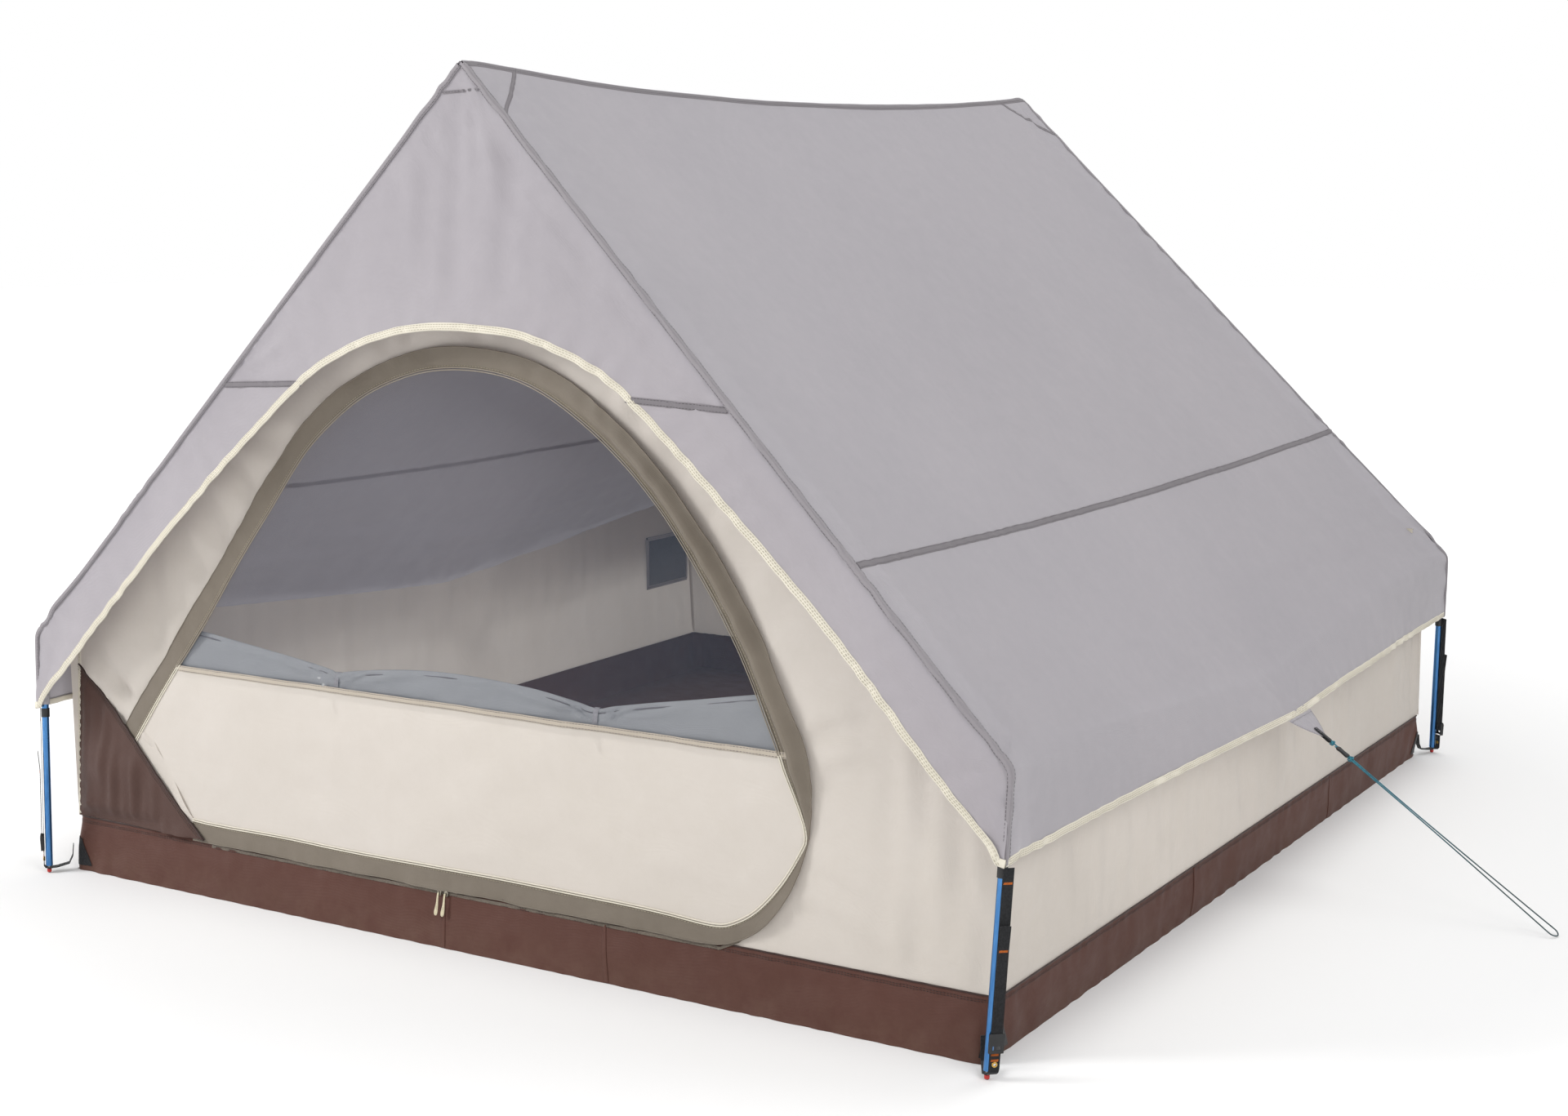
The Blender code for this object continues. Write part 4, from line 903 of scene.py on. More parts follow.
def make_roof(side, name):
    surface = roof_surface(side)
    s = np.concatenate([np.linspace(0.0, 1.70, 128), np.linspace(1.71, SLOPE_END, 30)])
    ends = 1.0 - 0.06 * (1.0 - np.linspace(0.0, 1.0, 12)[:-1]) ** 1.3
    t = np.concatenate([-ends[::-1], np.linspace(-0.94, 0.94, 170)[1:-1], ends])
    points = surface(s[:, None], t[None, :])
    piece = grid("fly_" + name + "_roof_cloth", points, FLY, "tent", flip=side < 0)
    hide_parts("fly_" + name + "_roof")
    flat = roof_flat(surface)

    trims, threads = Bundle(), Bundle()
    ys = np.linspace(-1.0, 1.0, 260)
    seam = np.stack([np.full_like(ys, SEAM_S), ys * (roof_reach(SEAM_S) - 0.012)], axis=1)
    tape(trims, flat, seam, 0.015, 0.0013)
    for shift in (-0.0052, 0.0052):
        stitches(threads, flat, seam, shift, 0.0017)
    for end in (-1.0, 1.0):
        patch_s = np.linspace(0.004, 0.160, 30)
        patch = np.stack([patch_s, end * (1.095 + 0.175 * (patch_s / 0.160) ** 1.1)], axis=1)
        tape(trims, flat, patch, 0.009, 0.0011)
        stitches(threads, flat, patch, 0.0024, 0.0014)
    trims.piece("fly_" + name + "_roof_seams", SEAM_GREY, "tent", "fly_fabric")

    hem_t = np.linspace(-1.0018, 1.0018, 320)
    sections = [
        (0.0152, 0.0002), (0.0146, 0.0013), (0.0080, 0.0018), (0.0014, 0.0016), (-0.0012, 0.0002),
        (0.0014, -0.0028), (0.0110, -0.0027), (0.0118, -0.0016),
    ]
    rows = []
    for up, lift in sections:
        drop = max(0.0, -up)
        sway = 0.0006 * waves(hem_t * 1.33, 0.0, 0.11, 5)
        line = surface(SLOPE_END - max(up, 0.0) + 0.0 * hem_t, hem_t, lift + sway)
        line[:, 2] -= drop
        rows.append(line)
    grid("fly_" + name + "_roof_hem", np.stack(rows, axis=1), BINDING, "tent")
    hem_rows = Bundle()
    for up in (0.0035, 0.0078, 0.0122):
        line = np.stack([np.full_like(ys, SLOPE_END - up), ys * (roof_reach(SLOPE_END) - 0.004)], axis=1)
        stitches(hem_rows, flat, line, 0.0, 0.0021)
    hem_rows.piece("fly_" + name + "_hem_stitching", THREAD_B, "tent", "fly_fabric")

    for end, end_name in ((-1.0, "front"), (1.0, "rear")):
        edge_roll(surface, end, side, end_name + "_" + name, threads)
    threads.piece("fly_" + name + "_roof_stitching", THREAD_A, "tent", "fly_fabric")
    return surface


def edge_roll(surface, end, side, label, threads):
    """Felled seam along a hoop, where the roof is sewn to the end flap."""
    s = np.linspace(0.010, SLOPE_END - 0.002, 330)
    corner = surface(s, np.full_like(s, end))
    below = surface(s, np.full_like(s, end * 0.985))
    onto_roof = unit(below - corner)
    way = unit(np.gradient(corner, axis=0))
    flap_normal = np.array([0.0, end, ROOF_END_LEAN])
    flap_normal = flap_normal / np.linalg.norm(flap_normal)
    roof_normal = unit(surface(s, np.full_like(s, end), 0.003) - corner)
    onto_flap = unit(np.cross(way, flap_normal))
    inward = np.array([0.0, 0.0, 0.3]) - corner
    flips = np.sign(np.sum(onto_flap * inward, axis=1))
    onto_flap = onto_flap * flips[:, None]
    sway = 0.0007 * waves(s, 0.0, 0.09, 31 + int(end) + int(side))[:, None]
    section = [
        corner + onto_flap * 0.0092 + flap_normal * 0.0010,
        corner + onto_flap * 0.0086 + flap_normal * (0.0022 + sway),
        corner + onto_flap * 0.0040 + flap_normal * (0.0032 + sway),
        corner + onto_flap * 0.0008 + flap_normal * (0.0030 + sway) + roof_normal * 0.0008,
        corner + (flap_normal + roof_normal) * 0.0022,
        corner + onto_roof * 0.0010 + roof_normal * 0.0026,
        corner + onto_roof * 0.0050 + roof_normal * (0.0023 + sway),
        corner + onto_roof * 0.0098 + roof_normal * (0.0014 + sway),
        corner + onto_roof * 0.0104 + roof_normal * 0.0001,
    ]
    grid("fly_" + label + "_edge_seam", np.stack(section, axis=1), EDGE_GREY, "tent")
    rows = [
        (0.0068, onto_flap, np.broadcast_to(flap_normal, corner.shape), 0.0029),
        (0.0080, onto_roof, roof_normal, 0.0021),
    ]
    for base, direction, normal, lift in rows:
        line = corner + direction * base + normal * lift
        picked = resample(line, 0.0074)
        share, every = np.linspace(0, 1, len(picked)), np.linspace(0, 1, len(line))
        normals = np.stack([np.interp(share, every, normal[:, k]) for k in range(3)], axis=1)
        lozenges(threads, picked, unit(normals), 0.0050, 0.0011, 0.0006)


RIGHT_ROOF = make_roof(1, "right")
LEFT_ROOF = make_roof(-1, "left")


def make_ridge_cover():
    """Folded tape that joins the two roof sheets along the ridge."""
    t = np.linspace(-1.0, 1.0, 240)
    rows = []
    for surface, s_values in ((LEFT_ROOF, (0.018, 0.017, 0.004)), (RIGHT_ROOF, (0.004, 0.017, 0.018))):
        for s in s_values:
            rows.append(surface(np.full_like(t, s), t, 0.0002 if s == 0.018 else 0.0014))
    grid("fly_ridge_seam", np.stack(rows, axis=1), SEAM_GREY, "tent", flip=True)
    threads = Bundle()
    ys = np.linspace(-1.22, 1.22, 200)
    for surface in (LEFT_ROOF, RIGHT_ROOF):
        stitches(threads, roof_flat(surface), np.stack([np.full_like(ys, 0.0125), ys], axis=1), 0.0, 0.0016)
    threads.piece("fly_ridge_stitching", THREAD_A, "tent", "fly_fabric")


make_ridge_cover()

# ------------------------------------------------------------ end flaps of the fly
ARCH = [
    (0.000, 1.298), (0.110, 1.293), (0.180, 1.281), (0.275, 1.252), (0.370, 1.208),
    (0.465, 1.140), (0.574, 1.050), (0.685, 0.953), (0.810, 0.838), (0.920, 0.731),
    (1.030, 0.619), (1.135, 0.510), (1.215, 0.432), (1.240, 0.394),
]
arch_half = [(-x, z) for x, z in reversed(ARCH[1:])] + ARCH
ARCH_LINE = smooth_curve(arch_half, 0.012)
FLAP_SEAM_Z = 1.176
PATCH_Z = 1.770


def flap_relief(end):
    seed = 100 if end < 0 else 140

    def relief(x, z):
        gap, along = near(ARCH_LINE[::3], x, z)
        slope = 1.826 - np.abs(x)
        edge = smoothstep(np.abs(slope - z), 0.004, 0.09)
        height = 0.0040 * waves(x, z, 0.6, seed) * edge
        height = height + rays(
            x, z, (0.0, 1.815), 0.66, 17, 0.0170, seed + 1, -0.5 * math.pi, 0.95
        ) * smoothstep(1.82 - z, 0.01, 0.07)
        drape = np.exp(-(x / 0.34) ** 2) * smoothstep(z, 1.30, 1.42)
        height = height + 0.0040 * drape * waves(x, z * 0.16, 0.105, seed + 14) * edge
        for side in (-1.0, 1.0):
            seam_end = (side * 0.648, FLAP_SEAM_Z)
            height = height + rays(x, z, seam_end, 0.36, 16, 0.0130, seed + 3 + int(side), 0.5 * math.pi, 2.2)
            height = height + rays(
                x, z, (side * 1.262, 0.39), 0.60, 14, 0.0120, seed + 6 + int(side),
                0.5 * math.pi + side * 0.6, 1.2
            )
            height = height + rays(
                x, z, (side * 1.262, 0.575), 0.44, 12, 0.0085, seed + 8 + int(side),
                -0.5 * math.pi - side * 0.9, 1.5
            )
        height = height + pucker(gap, along, 0.070, 0.0030, 0.045, seed + 10)
        height = height + pucker(np.abs(slope - z) * 0.7, x + z, 0.085, 0.0036, 0.085, seed + 11) * edge
        height = height + pucker(np.abs(z - FLAP_SEAM_Z), x, 0.036, 0.0010, 0.020, seed + 12)
        flare = 0.010 * np.exp(-gap / 0.10) * smoothstep(np.abs(slope - z), 0.0, 0.16)
        return np.clip(height + flare, -0.010, 0.024)
    return relief


def end_surface(sign, depth, lean, relief):
    """A leaning end plane: x across, z up, lift outward."""
    def at(x, z, lift=0.0):
        x, z = np.broadcast_arrays(np.asarray(x, float), np.asarray(z, float))
        y = sign * (depth - lean * z + relief(x, z) + lift)
        return np.stack([x, y, z], axis=-1)
    return at


MIRROR = np.array([-1.0, 1.0])


def seam_height(x):
    return FLAP_SEAM_Z - 0.05 * (np.abs(x) - 0.432)


def cross_seam(path):
    """Point where a path passes the flap's side seam."""
    over = path[:, 1] - seam_height(path[:, 0])
    i = np.where(over[:-1] * over[1:] <= 0.0)[0][0]
    return path[i] + (path[i + 1] - path[i]) * over[i] / (over[i] - over[i + 1])


def flap_cuts(right, left):
    """The three cuts a flap is sewn from: over the arch, and one down each side, with their joint."""
    half = ARCH_LINE[ARCH_LINE[:, 0] > 0.0]
    inner, outer = cross_seam(half), cross_seam(right)

    def part(path, sign):
        return path[sign * (path[:, 1] - seam_height(path[:, 0])) > 0.0015]

    top = np.vstack([
        outer, part(right, 1), part(left, 1), outer * MIRROR, inner * MIRROR, part(ARCH_LINE, 1), inner,
    ])
    side = np.vstack([part(right, -1), outer, inner, part(half, -1)])
    return top, side, (inner, outer)


def make_end_flap(end, name):
    relief = flap_relief(end)
    surface = end_surface(end, ROOF_END_Y - 0.0010, ROOF_END_LEAN, relief)
    down = np.linspace(SLOPE_END, 0.004, 150)
    right = np.stack(
        [np.interp(down, FINE_S, HOOP_X) - 0.0016, np.interp(down, FINE_S, HOOP_Z) - 0.0012], axis=1
    )
    left = right[::-1] * np.array([-1.0, 1.0])
    top, side_cut, joint = flap_cuts(right, left)
    cuts = [
        ("", top, ("left", "right")),
        ("_left", side_cut[::-1] * MIRROR, ("left",)),
        ("_right", side_cut, ("right",)),
    ]
    for part, outline, sides in cuts:
        piece = cloth_panel(
            "fly_" + name + "_flap" + part + "_cloth", [outline], 0.0155, surface, GABLE, "tent",
        )
        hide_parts("fly_" + name + "_gable")

    seams, threads = Bundle(), Bundle()
    for side in (-1.0, 1.0):
        share = np.linspace(0.02, 0.95, 44).reshape(-1, 1)
        seam = (joint[0] + (joint[1] - joint[0]) * share) * np.array([side, 1.0])
        tape(seams, surface, seam, 0.013, 0.0012)
        for shift in (-0.0045, 0.0045):
            stitches(threads, surface, seam, shift, 0.0016)
    patch = np.stack([np.linspace(-0.046, 0.046, 24), PATCH_Z + 0.002 * np.linspace(-1, 1, 24)], axis=1)
    tape(seams, surface, patch, 0.006, 0.0010)
    stitches(threads, surface, patch, 0.0, 0.0014)
    seams.piece("fly_" + name + "_flap_seams", SEAM_GREY, "tent", "gable_fabric")
    threads.piece("fly_" + name + "_flap_stitching", THREAD_A, "tent", "gable_fabric")
    arch_binding(surface, name)


def arch_binding(surface, name):
    """Cream tape folded round the doorway arch, with three rows of stitches."""
    section = [
        (0.0150, 0.0003), (0.0145, 0.0015), (0.0080, 0.0020), (0.0012, 0.0019), (-0.0015, 0.0002),
        (0.0012, -0.0025), (0.0110, -0.0026), (0.0118, -0.0010),
    ]
    path = np.vstack([[(-1.2575, 0.3900)], ARCH_LINE, [(1.2575, 0.3900)]])
    sway = 0.0007 * waves(np.arange(len(path)) * 0.012, 0.0, 0.12, 77)
    rows = []
    for reach, lift in section:
        line = offset(path, reach + sway)
        rows.append(surface(line[:, 0], line[:, 1], lift))
    grid(
        "fly_" + name + "_arch_binding", np.stack(rows, axis=1), BINDING, "tent",
        flip=name == "rear"
    )
    threads = Bundle()
    for reach in (0.0032, 0.0078, 0.0122):
        stitches(threads, surface, ARCH_LINE, reach, 0.0023)
    threads.piece("fly_" + name + "_arch_stitching", THREAD_B, "tent", "gable_fabric")


make_end_flap(-1, "front")
make_end_flap(1, "rear")

# ------------------------------------------------------------ the door's edge, shared by wall and door
DOOR_EDGE = [
    (-1.052, 0.355), (-0.915, 0.535), (FOLD_X, 0.712), (-0.650, 0.884), (-0.538, 1.033), (-0.440, 1.122),
    (-0.330, 1.193), (-0.200, 1.240), (-0.080, 1.258), (0.040, 1.254), (0.150, 1.229), (0.260, 1.180),
    (0.370, 1.105), (0.487, 0.998), (0.590, 0.880), (0.690, 0.735), (0.765, 0.595), (0.806, 0.493),
    (0.814, 0.400), (0.800, 0.320), (0.770, 0.245), (0.720, 0.178), (0.660, 0.136), (0.600, 0.119),
    (0.480, 0.119), (0.360, 0.119), (0.120, 0.119), (-0.240, 0.119), (-0.600, 0.119), (-0.830, 0.119),
]
EDGE = smooth_curve(DOOR_EDGE, 0.011)
GAP_LOOP = closed(EDGE)[::3]

# ------------------------------------------------------------ tent body walls


def end_wall_outline():
    """Straight sides from the tub to the roof, then along under the roof to a flat cut at the ridge."""
    s = np.linspace(EAVE_S - 0.02, 0.06, 90)
    z_guess = np.interp(s, FINE_S, HOOP_Z)
    t = (WALL_Y - WALL_LEAN * z_guess) / roof_reach(s)
    under = roof_base(s, t)[:, (0, 2)] - np.array([0.0, 0.0125])
    under = under[(under[:, 0] < WALL_X) & (under[:, 1] < 1.744)]
    right = np.vstack([[(WALL_X, WALL_BASE), (WALL_X, under[0, 1] - (WALL_X - under[0, 0]))], under])
    return np.vstack([right, right[::-1] * np.array([-1.0, 1.0])])


END_WALL = end_wall_outline()


def end_wall_relief(end):
    seed = 200 if end < 0 else 240

    def relief(x, z):
        side_gap = WALL_X - np.abs(x)
        top_gap = 1.80 - np.abs(x) - z
        frame_fade = smoothstep(side_gap, 0.0, 0.05) * smoothstep(top_gap, 0.0, 0.08)
        frame_fade = frame_fade * (0.12 + 0.88 * smoothstep(z - WALL_BASE, 0.0, 0.035))
        height = 0.0040 * waves(x, z * 0.8, 0.5, seed)
        height = height + 0.0042 * waves(x, z * 0.22, 0.085, seed + 1) * smoothstep(np.abs(x), 0.80, 1.08)
        height = height + pucker(z - WALL_BASE, x, 0.055, 0.0024, 0.055, seed + 2)
        for side in (-1.0, 1.0):
            height = height + rays(
                x, z, (side * 1.222, WALL_BASE), 0.55, 18, 0.0090, seed + 3 + int(side),
                0.5 * math.pi + side * 0.5, 1.1
            )
            height = height + rays(
                x, z, (side * 1.215, 0.585), 0.50, 15, 0.0070, seed + 5 + int(side),
                -0.5 * math.pi - side * 0.7, 1.3
            )
        height = height + pucker(
            np.clip(top_gap, 0.0, 9.0), x - np.sign(x) * z, 0.085, 0.0032, 0.10, seed + 7
        )
        if end < 0:
            gap, along = near(GAP_LOOP, x, z)
            pull = pucker(gap, along, 0.118, 0.0150, 0.19, seed + 8) * smoothstep(gap, 0.0, 0.05)
            tight = pucker(gap, along, 0.046, 0.0030, 0.045, seed + 9) * smoothstep(gap, 0.004, 0.02)
            height = height + pull * (0.55 + 0.45 * smoothstep(-x, -0.3, 0.6)) + tight
            height = np.minimum(height, 0.0015 + 0.11 * np.clip(gap - 0.012, 0.0, 1.0))
        return np.clip(height * frame_fade, -0.016, 0.020)
    return relief


FRONT_WALL = end_surface(-1, WALL_Y, WALL_LEAN, end_wall_relief(-1))
REAR_WALL = end_surface(1, WALL_Y, WALL_LEAN, end_wall_relief(1))


def make_end_walls():
    hole = offset(EDGE, -0.018)
    hole = np.vstack([hole[4:-4], [(-0.815, 0.152), (-0.990, 0.372)]])
    hole[:, 1] = np.maximum(hole[:, 1], 0.142)
    piece = cloth_panel("front_wall_cloth", [END_WALL, hole], 0.0165, FRONT_WALL, WALL, "tent")
    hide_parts("front_wall")
    piece = cloth_panel("rear_wall_cloth", [END_WALL], 0.0185, REAR_WALL, WALL, "tent")
    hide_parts("rear_wall")

    seams, threads = Bundle(), Bundle()
    joins = [
        np.stack([np.linspace(-1.19, 1.19, 150), np.full(150, 0.640)], axis=1),
        np.stack([np.linspace(-0.655, 0.655, 90), np.full(90, 1.130)], axis=1),
    ]
    for path in joins:
        tape(seams, REAR_WALL, path, 0.012, 0.0012)
        for shift in (-0.004, 0.004):
            stitches(threads, REAR_WALL, path, shift, 0.0016)
    edges = [
        np.stack([np.full(40, side * (WALL_X - 0.006)), np.linspace(0.128, 0.545, 40)], axis=1)
        for side in (-1, 1)
    ]
    for surface in (FRONT_WALL, REAR_WALL):
        for path in edges:
            tape(seams, surface, path, 0.010, 0.0012)
            stitches(threads, surface, path, 0.0, 0.0015)
    seams.piece("end_wall_seams", SEAM_CREAM, "tent", "wall_fabric")
    threads.piece("end_wall_stitching", THREAD_B, "tent", "wall_fabric")


make_end_walls()


def side_wall(side):
    seed = 300 if side > 0 else 330

    def at(y, z, lift=0.0):
        y, z = np.broadcast_arrays(np.asarray(y, float), np.asarray(z, float))
        fade = smoothstep(1.292 - np.abs(y), 0.0, 0.05)
        height = 0.0050 * waves(y * 0.8, z * 0.5, 0.34, seed) + 0.0034 * waves(y, z * 0.25, 0.10, seed + 1)
        height = height + pucker(z - WALL_BASE, y, 0.060, 0.0026, 0.050, seed + 2)
        for end in (-1.0, 1.0):
            height = height + rays(
                y, z, (end * 1.30, WALL_BASE), 0.60, 16, 0.0100, seed + 3 + int(end),
                0.5 * math.pi + end * 0.7, 1.0
            )
            height = height + rays(
                y, z, (end * 1.30, 0.56), 0.60, 15, 0.0090, seed + 5 + int(end), -0.5 * math.pi - end * 0.8,
                1.1
            )
        level = smoothstep(z - WALL_BASE, 0.0, 0.040)
        if side < 0:
            behind = smoothstep(
                0.19 - np.abs(y - 1.146), 0.0, 0.05
            ) * smoothstep(0.14 - np.abs(z - 0.390), 0.0, 0.04)
            height = np.maximum(height, -0.014 * (1.0 - behind))
        height = np.clip(height * fade * (0.05 + 0.95 * level), -0.014, 0.014) + lift
        return np.stack([side * (WALL_X - 0.0040 * (1.0 - level) + height), y, z], axis=-1)
    return at


def make_side_wall(side, name):
    surface = side_wall(side)
    ys = np.linspace(1.289, -1.289, 120)
    slope = np.linspace(EAVE_S - 0.20, EAVE_S + 0.05, 60)
    under = []
    for y in ys:
        points = roof_base(slope, np.full_like(slope, y / (ROOF_END_Y - ROOF_END_LEAN * 0.58)))
        under.append((y, float(np.interp(WALL_X + 0.002, points[:, 0], points[:, 2])) - 0.0125))
    outline = np.vstack([[(-1.2915, WALL_BASE), (1.2915, WALL_BASE)], under])
    piece = cloth_panel(name + "_wall_cloth", [outline], 0.0175, surface, WALL, "tent")
    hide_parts(name + "_wall")


make_side_wall(1, "right")
make_side_wall(-1, "left")

# ------------------------------------------------------------ bathtub floor
TUB_CORNER = 0.016


def tub_ring(level):
    """Corner-rounded outline of the tub at a share of its height, walked from the front left corner."""
    half_x = TUB_BOTTOM[0] + (TUB_TOP[0] - TUB_BOTTOM[0]) * level
    half_y = TUB_BOTTOM[1] + (TUB_TOP[1] - TUB_BOTTOM[1]) * level
    points = []
    for corner_x, corner_y, start in (
        (-1, -1, math.pi), (1, -1, 1.5 * math.pi), (1, 1, 0.0), (-1, 1, 0.5 * math.pi)
    ):
        for turn in np.linspace(start, start + 0.5 * math.pi, 7):
            points.append((
                corner_x * (half_x - TUB_CORNER) + TUB_CORNER * math.cos(turn),
                corner_y * (half_y - TUB_CORNER) + TUB_CORNER * math.sin(turn),
            ))
    return np.array(points)


def tub_side(around, level, lift=0.0):
    """Point of the tub's side: a share of the way round, and a share of the height."""
    around, level = np.broadcast_arrays(np.asarray(around, float), np.asarray(level, float))
    rings = []
    for end in (0.0, 1.0):
        ring = closed(tub_ring(end))
        walked = np.concatenate([[0.0], np.cumsum(np.linalg.norm(np.diff(ring, axis=0), axis=1))])
        share = around * walked[-1]
        rings.append(np.stack([np.interp(share, walked, ring[:, axis]) for axis in (0, 1)], axis=-1))
    flat = rings[0] + (rings[1] - rings[0]) * level[..., None]
    z = level * TUB_HEIGHT
    out = flat / np.array([TUB_TOP[0], TUB_BOTTOM[1]])
    normal = np.where(
        np.abs(out[..., :1]) > np.abs(out[..., 1:]), np.stack([np.sign(out[..., 0]), 0 * out[..., 0]], -1),
        np.stack([0 * out[..., 0], np.sign(out[..., 1])], -1)
    )
    length = around * 10.0
    height = pucker(TUB_HEIGHT - z, length, 0.046, 0.0024, 0.030, 400) * (
        0.35 + 0.65 * smoothstep(TUB_HEIGHT - z, 0.0, 0.018)
    )
    height = height + pucker(z, length, 0.075, 0.0018, 0.025, 401)
    height = height + 0.0030 * waves(length, z * 0.5, 0.16, 402) * np.sin(math.pi * np.clip(level, 0, 1))
    corner = np.minimum(np.abs(np.abs(flat[..., 0]) - 1.205), 9.0) + np.abs(np.abs(flat[..., 1]) - 1.305)
    rise = np.sin(math.pi * np.clip(level * 0.9 + 0.1, 0, 1))
    folds = 0.0036 * np.exp(-corner / 0.12) * np.sin(corner / 0.0135 + 26.0 * level * z) * rise
    height = height + folds + 0.0022 * np.sin(math.pi * np.clip(level, 0, 1)) + lift
    return np.concatenate([flat + normal * height[..., None], z[..., None]], axis=-1)


def make_tub():
    around = np.linspace(0.0, 1.0, 860)
    level = np.array([0.0, 0.04, 0.1, 0.18, 0.28, 0.4, 0.52, 0.64, 0.75, 0.84, 0.91, 0.96, 1.0])
    sides = tub_side(around[None, :], level[:, None])
    bundle = Bundle()
    bundle.grid(sides)
    xs, ys = np.meshgrid(np.linspace(-1.0, 1.0, 80), np.linspace(-1.0, 1.0, 86))
    fade = smoothstep(1.0 - np.maximum(np.abs(xs), np.abs(ys)), 0.0, 0.05)
    floor_z = 0.0010 + 0.0026 * fade * np.clip(
        0.35 + 0.5 * waves(xs * 1.2, ys * 1.3, 0.22, 410) + 0.4 * waves(xs * 1.2, ys * 1.3, 0.9, 411), 0.0,
        1.6
    )
    bundle.grid(np.stack([xs * (TUB_BOTTOM[0] - 0.001), ys * (TUB_BOTTOM[1] - 0.001), floor_z], axis=-1))
    piece = bundle.piece("tub_cloth", TUB, "tent", "floor_fabric")
    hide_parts("floor_tub")

    rim = tub_side(np.linspace(0.0, 1.0, 1000), np.full(1000, 1.0), 0.0012)
    verts, faces = tube(rim, 0.0017, 8, False)
    add_mesh("tub_rim_piping", verts, faces, BINDING_BROWN, "tent")
    seams, threads = Bundle(), Bundle()
    path_level = np.linspace(0.02, 0.97, 16)
    for x, end in ((-0.092, -1), (0.330, -1), (-0.40, 1), (0.55, 1)):
        path = np.stack([np.full(16, x), path_level], axis=1)
        tape(seams, tub_face(end), path, 0.010, 0.0012)
    for y, side in ((-0.35, 1), (0.55, 1), (0.40, -1), (-0.60, -1)):
        path = np.stack([np.full(16, y), path_level], axis=1)
        tape(seams, tub_flank(side), path, 0.010, 0.0012)
    seams.piece("tub_seams", TUB, "tent", "floor_fabric")
    for level_row in (0.925, 0.895):
        around_row = np.linspace(0.0, 1.0, 1420)
        points = tub_side(around_row, np.full_like(around_row, level_row), 0.0006)
        above = tub_side(around_row, np.full_like(around_row, level_row), 0.0026)
        lozenges(threads, points, unit(above - points), 0.0050, 0.0012, 0.0007)
    threads.piece("tub_stitching", THREAD_C, "tent", "floor_fabric")


def around_of(x, y):
    """Share of the way round the tub's rim of a point on it."""
    ring = closed(tub_ring(1.0))
    along = near(ring, x, y)[1]
    return along / np.linalg.norm(np.diff(ring, axis=0), axis=1).sum()


def tub_face(end):
    def at(x, level, lift=0.0):
        x, level = np.broadcast_arrays(np.asarray(x, float), np.asarray(level, float))
        return tub_side(around_of(x, np.full_like(x, end * TUB_TOP[1])), level, lift)
    return at


def tub_flank(side):
    def at(y, level, lift=0.0):
        y, level = np.broadcast_arrays(np.asarray(y, float), np.asarray(level, float))
        return tub_side(around_of(np.full_like(y, side * TUB_TOP[0]), y), level, lift)
    return at


make_tub()

# ------------------------------------------------------------ mouth of the pocket for the open door
STOW_EDGE = [
    (-0.790, 0.124), (-0.822, 0.150), (-0.865, 0.185), (-0.950, 0.262), (-1.040, 0.350), (-1.130, 0.432),
    (-1.2115, 0.484),
]
STOW_CURVE = smooth_curve(STOW_EDGE, 0.010)

# ------------------------------------------------------------ the door
TWIST = (0.805, 0.345)


def band_shape():
    """Along the door's edge: the storm band's run, width, and how its right-hand side stands and twists."""
    run = np.arange(len(EDGE)) * 0.011
    at_twist = run[np.argmin(np.hypot(EDGE[:, 0] - TWIST[0], EDGE[:, 1] - TWIST[1]))]
    stand = smoothstep(EDGE[:, 0], 0.10, 0.62) * smoothstep(at_twist - run, 0.02, 0.16)
    below = np.exp(-((run - at_twist - 0.13) / 0.09) ** 2)
    narrow = np.where(
        run < at_twist, np.exp(-(np.abs(at_twist - run) / 0.075) ** 1.6),
        np.exp(-(np.abs(run - at_twist) / 0.15) ** 1.1)
    )
    width = 0.0450 + 0.0025 * waves(run, 0.0, 0.34, 520) + 0.0130 * stand
    return run, width * (1.0 - 0.90 * narrow), stand, below, narrow


BAND_RUN, BAND_WIDTH, BAND_STAND, BAND_BELOW, BAND_NARROW = band_shape()
DOOR_INNER = offset(EDGE, -np.clip(BAND_WIDTH - 0.0050, 0.0012, 0.0405))


def door_relief(x, z):
    gap, along = near(EDGE[::3], x, z)
    fade = smoothstep(gap, 0.030, 0.10)
    height = 0.0034 * waves(x * 0.6, z, 0.34, 500) + 0.0016 * waves(x * 0.5, z * 1.4, 0.12, 501)
    height = height + rays(x, z, (0.77, 0.22), 0.5, 15, 0.0055, 502, 0.8 * math.pi, 0.9)
    height = height + rays(x, z, (-0.84, 0.14), 0.5, 15, 0.0060, 503, 0.2 * math.pi, 0.9)
    height = height + pucker(np.abs(z - WINDOW_Z), x, 0.042, 0.0010, 0.022, 504)
    height = np.clip(height * fade, -0.0030, 0.0065) + pucker(gap, along, 0.040, 0.0006, 0.02, 505)
    mouth = np.interp(x, STOW_CURVE[::-1, 0], STOW_CURVE[::-1, 1])
    clear = smoothstep(z - mouth, -0.004, 0.06)
    return height * clear - 0.0022 * (1.0 - clear)


DOOR = end_surface(-1, WALL_Y + DOOR_LIFT, WALL_LEAN, door_relief)


def crossing(a, b):
    """Point of a segment at the window's lower edge."""
    share = (WINDOW_Z - a[1]) / (b[1] - a[1])
    return a + (b - a) * share


def door_loops():
    above = np.where(DOOR_INNER[:, 1] > WINDOW_Z)[0]
    first, last = above[0], above[-1]
    left = crossing(DOOR_INNER[first - 1], DOOR_INNER[first])
    right = crossing(DOOR_INNER[last], DOOR_INNER[last + 1])
    window = np.vstack([left, DOOR_INNER[first:last + 1], right])
    stuffed = [(-0.870, 0.150), (-1.075, 0.330)]
    panel = np.vstack([right, DOOR_INNER[last + 1:-3], stuffed, DOOR_INNER[3:first], left])
    return window, panel


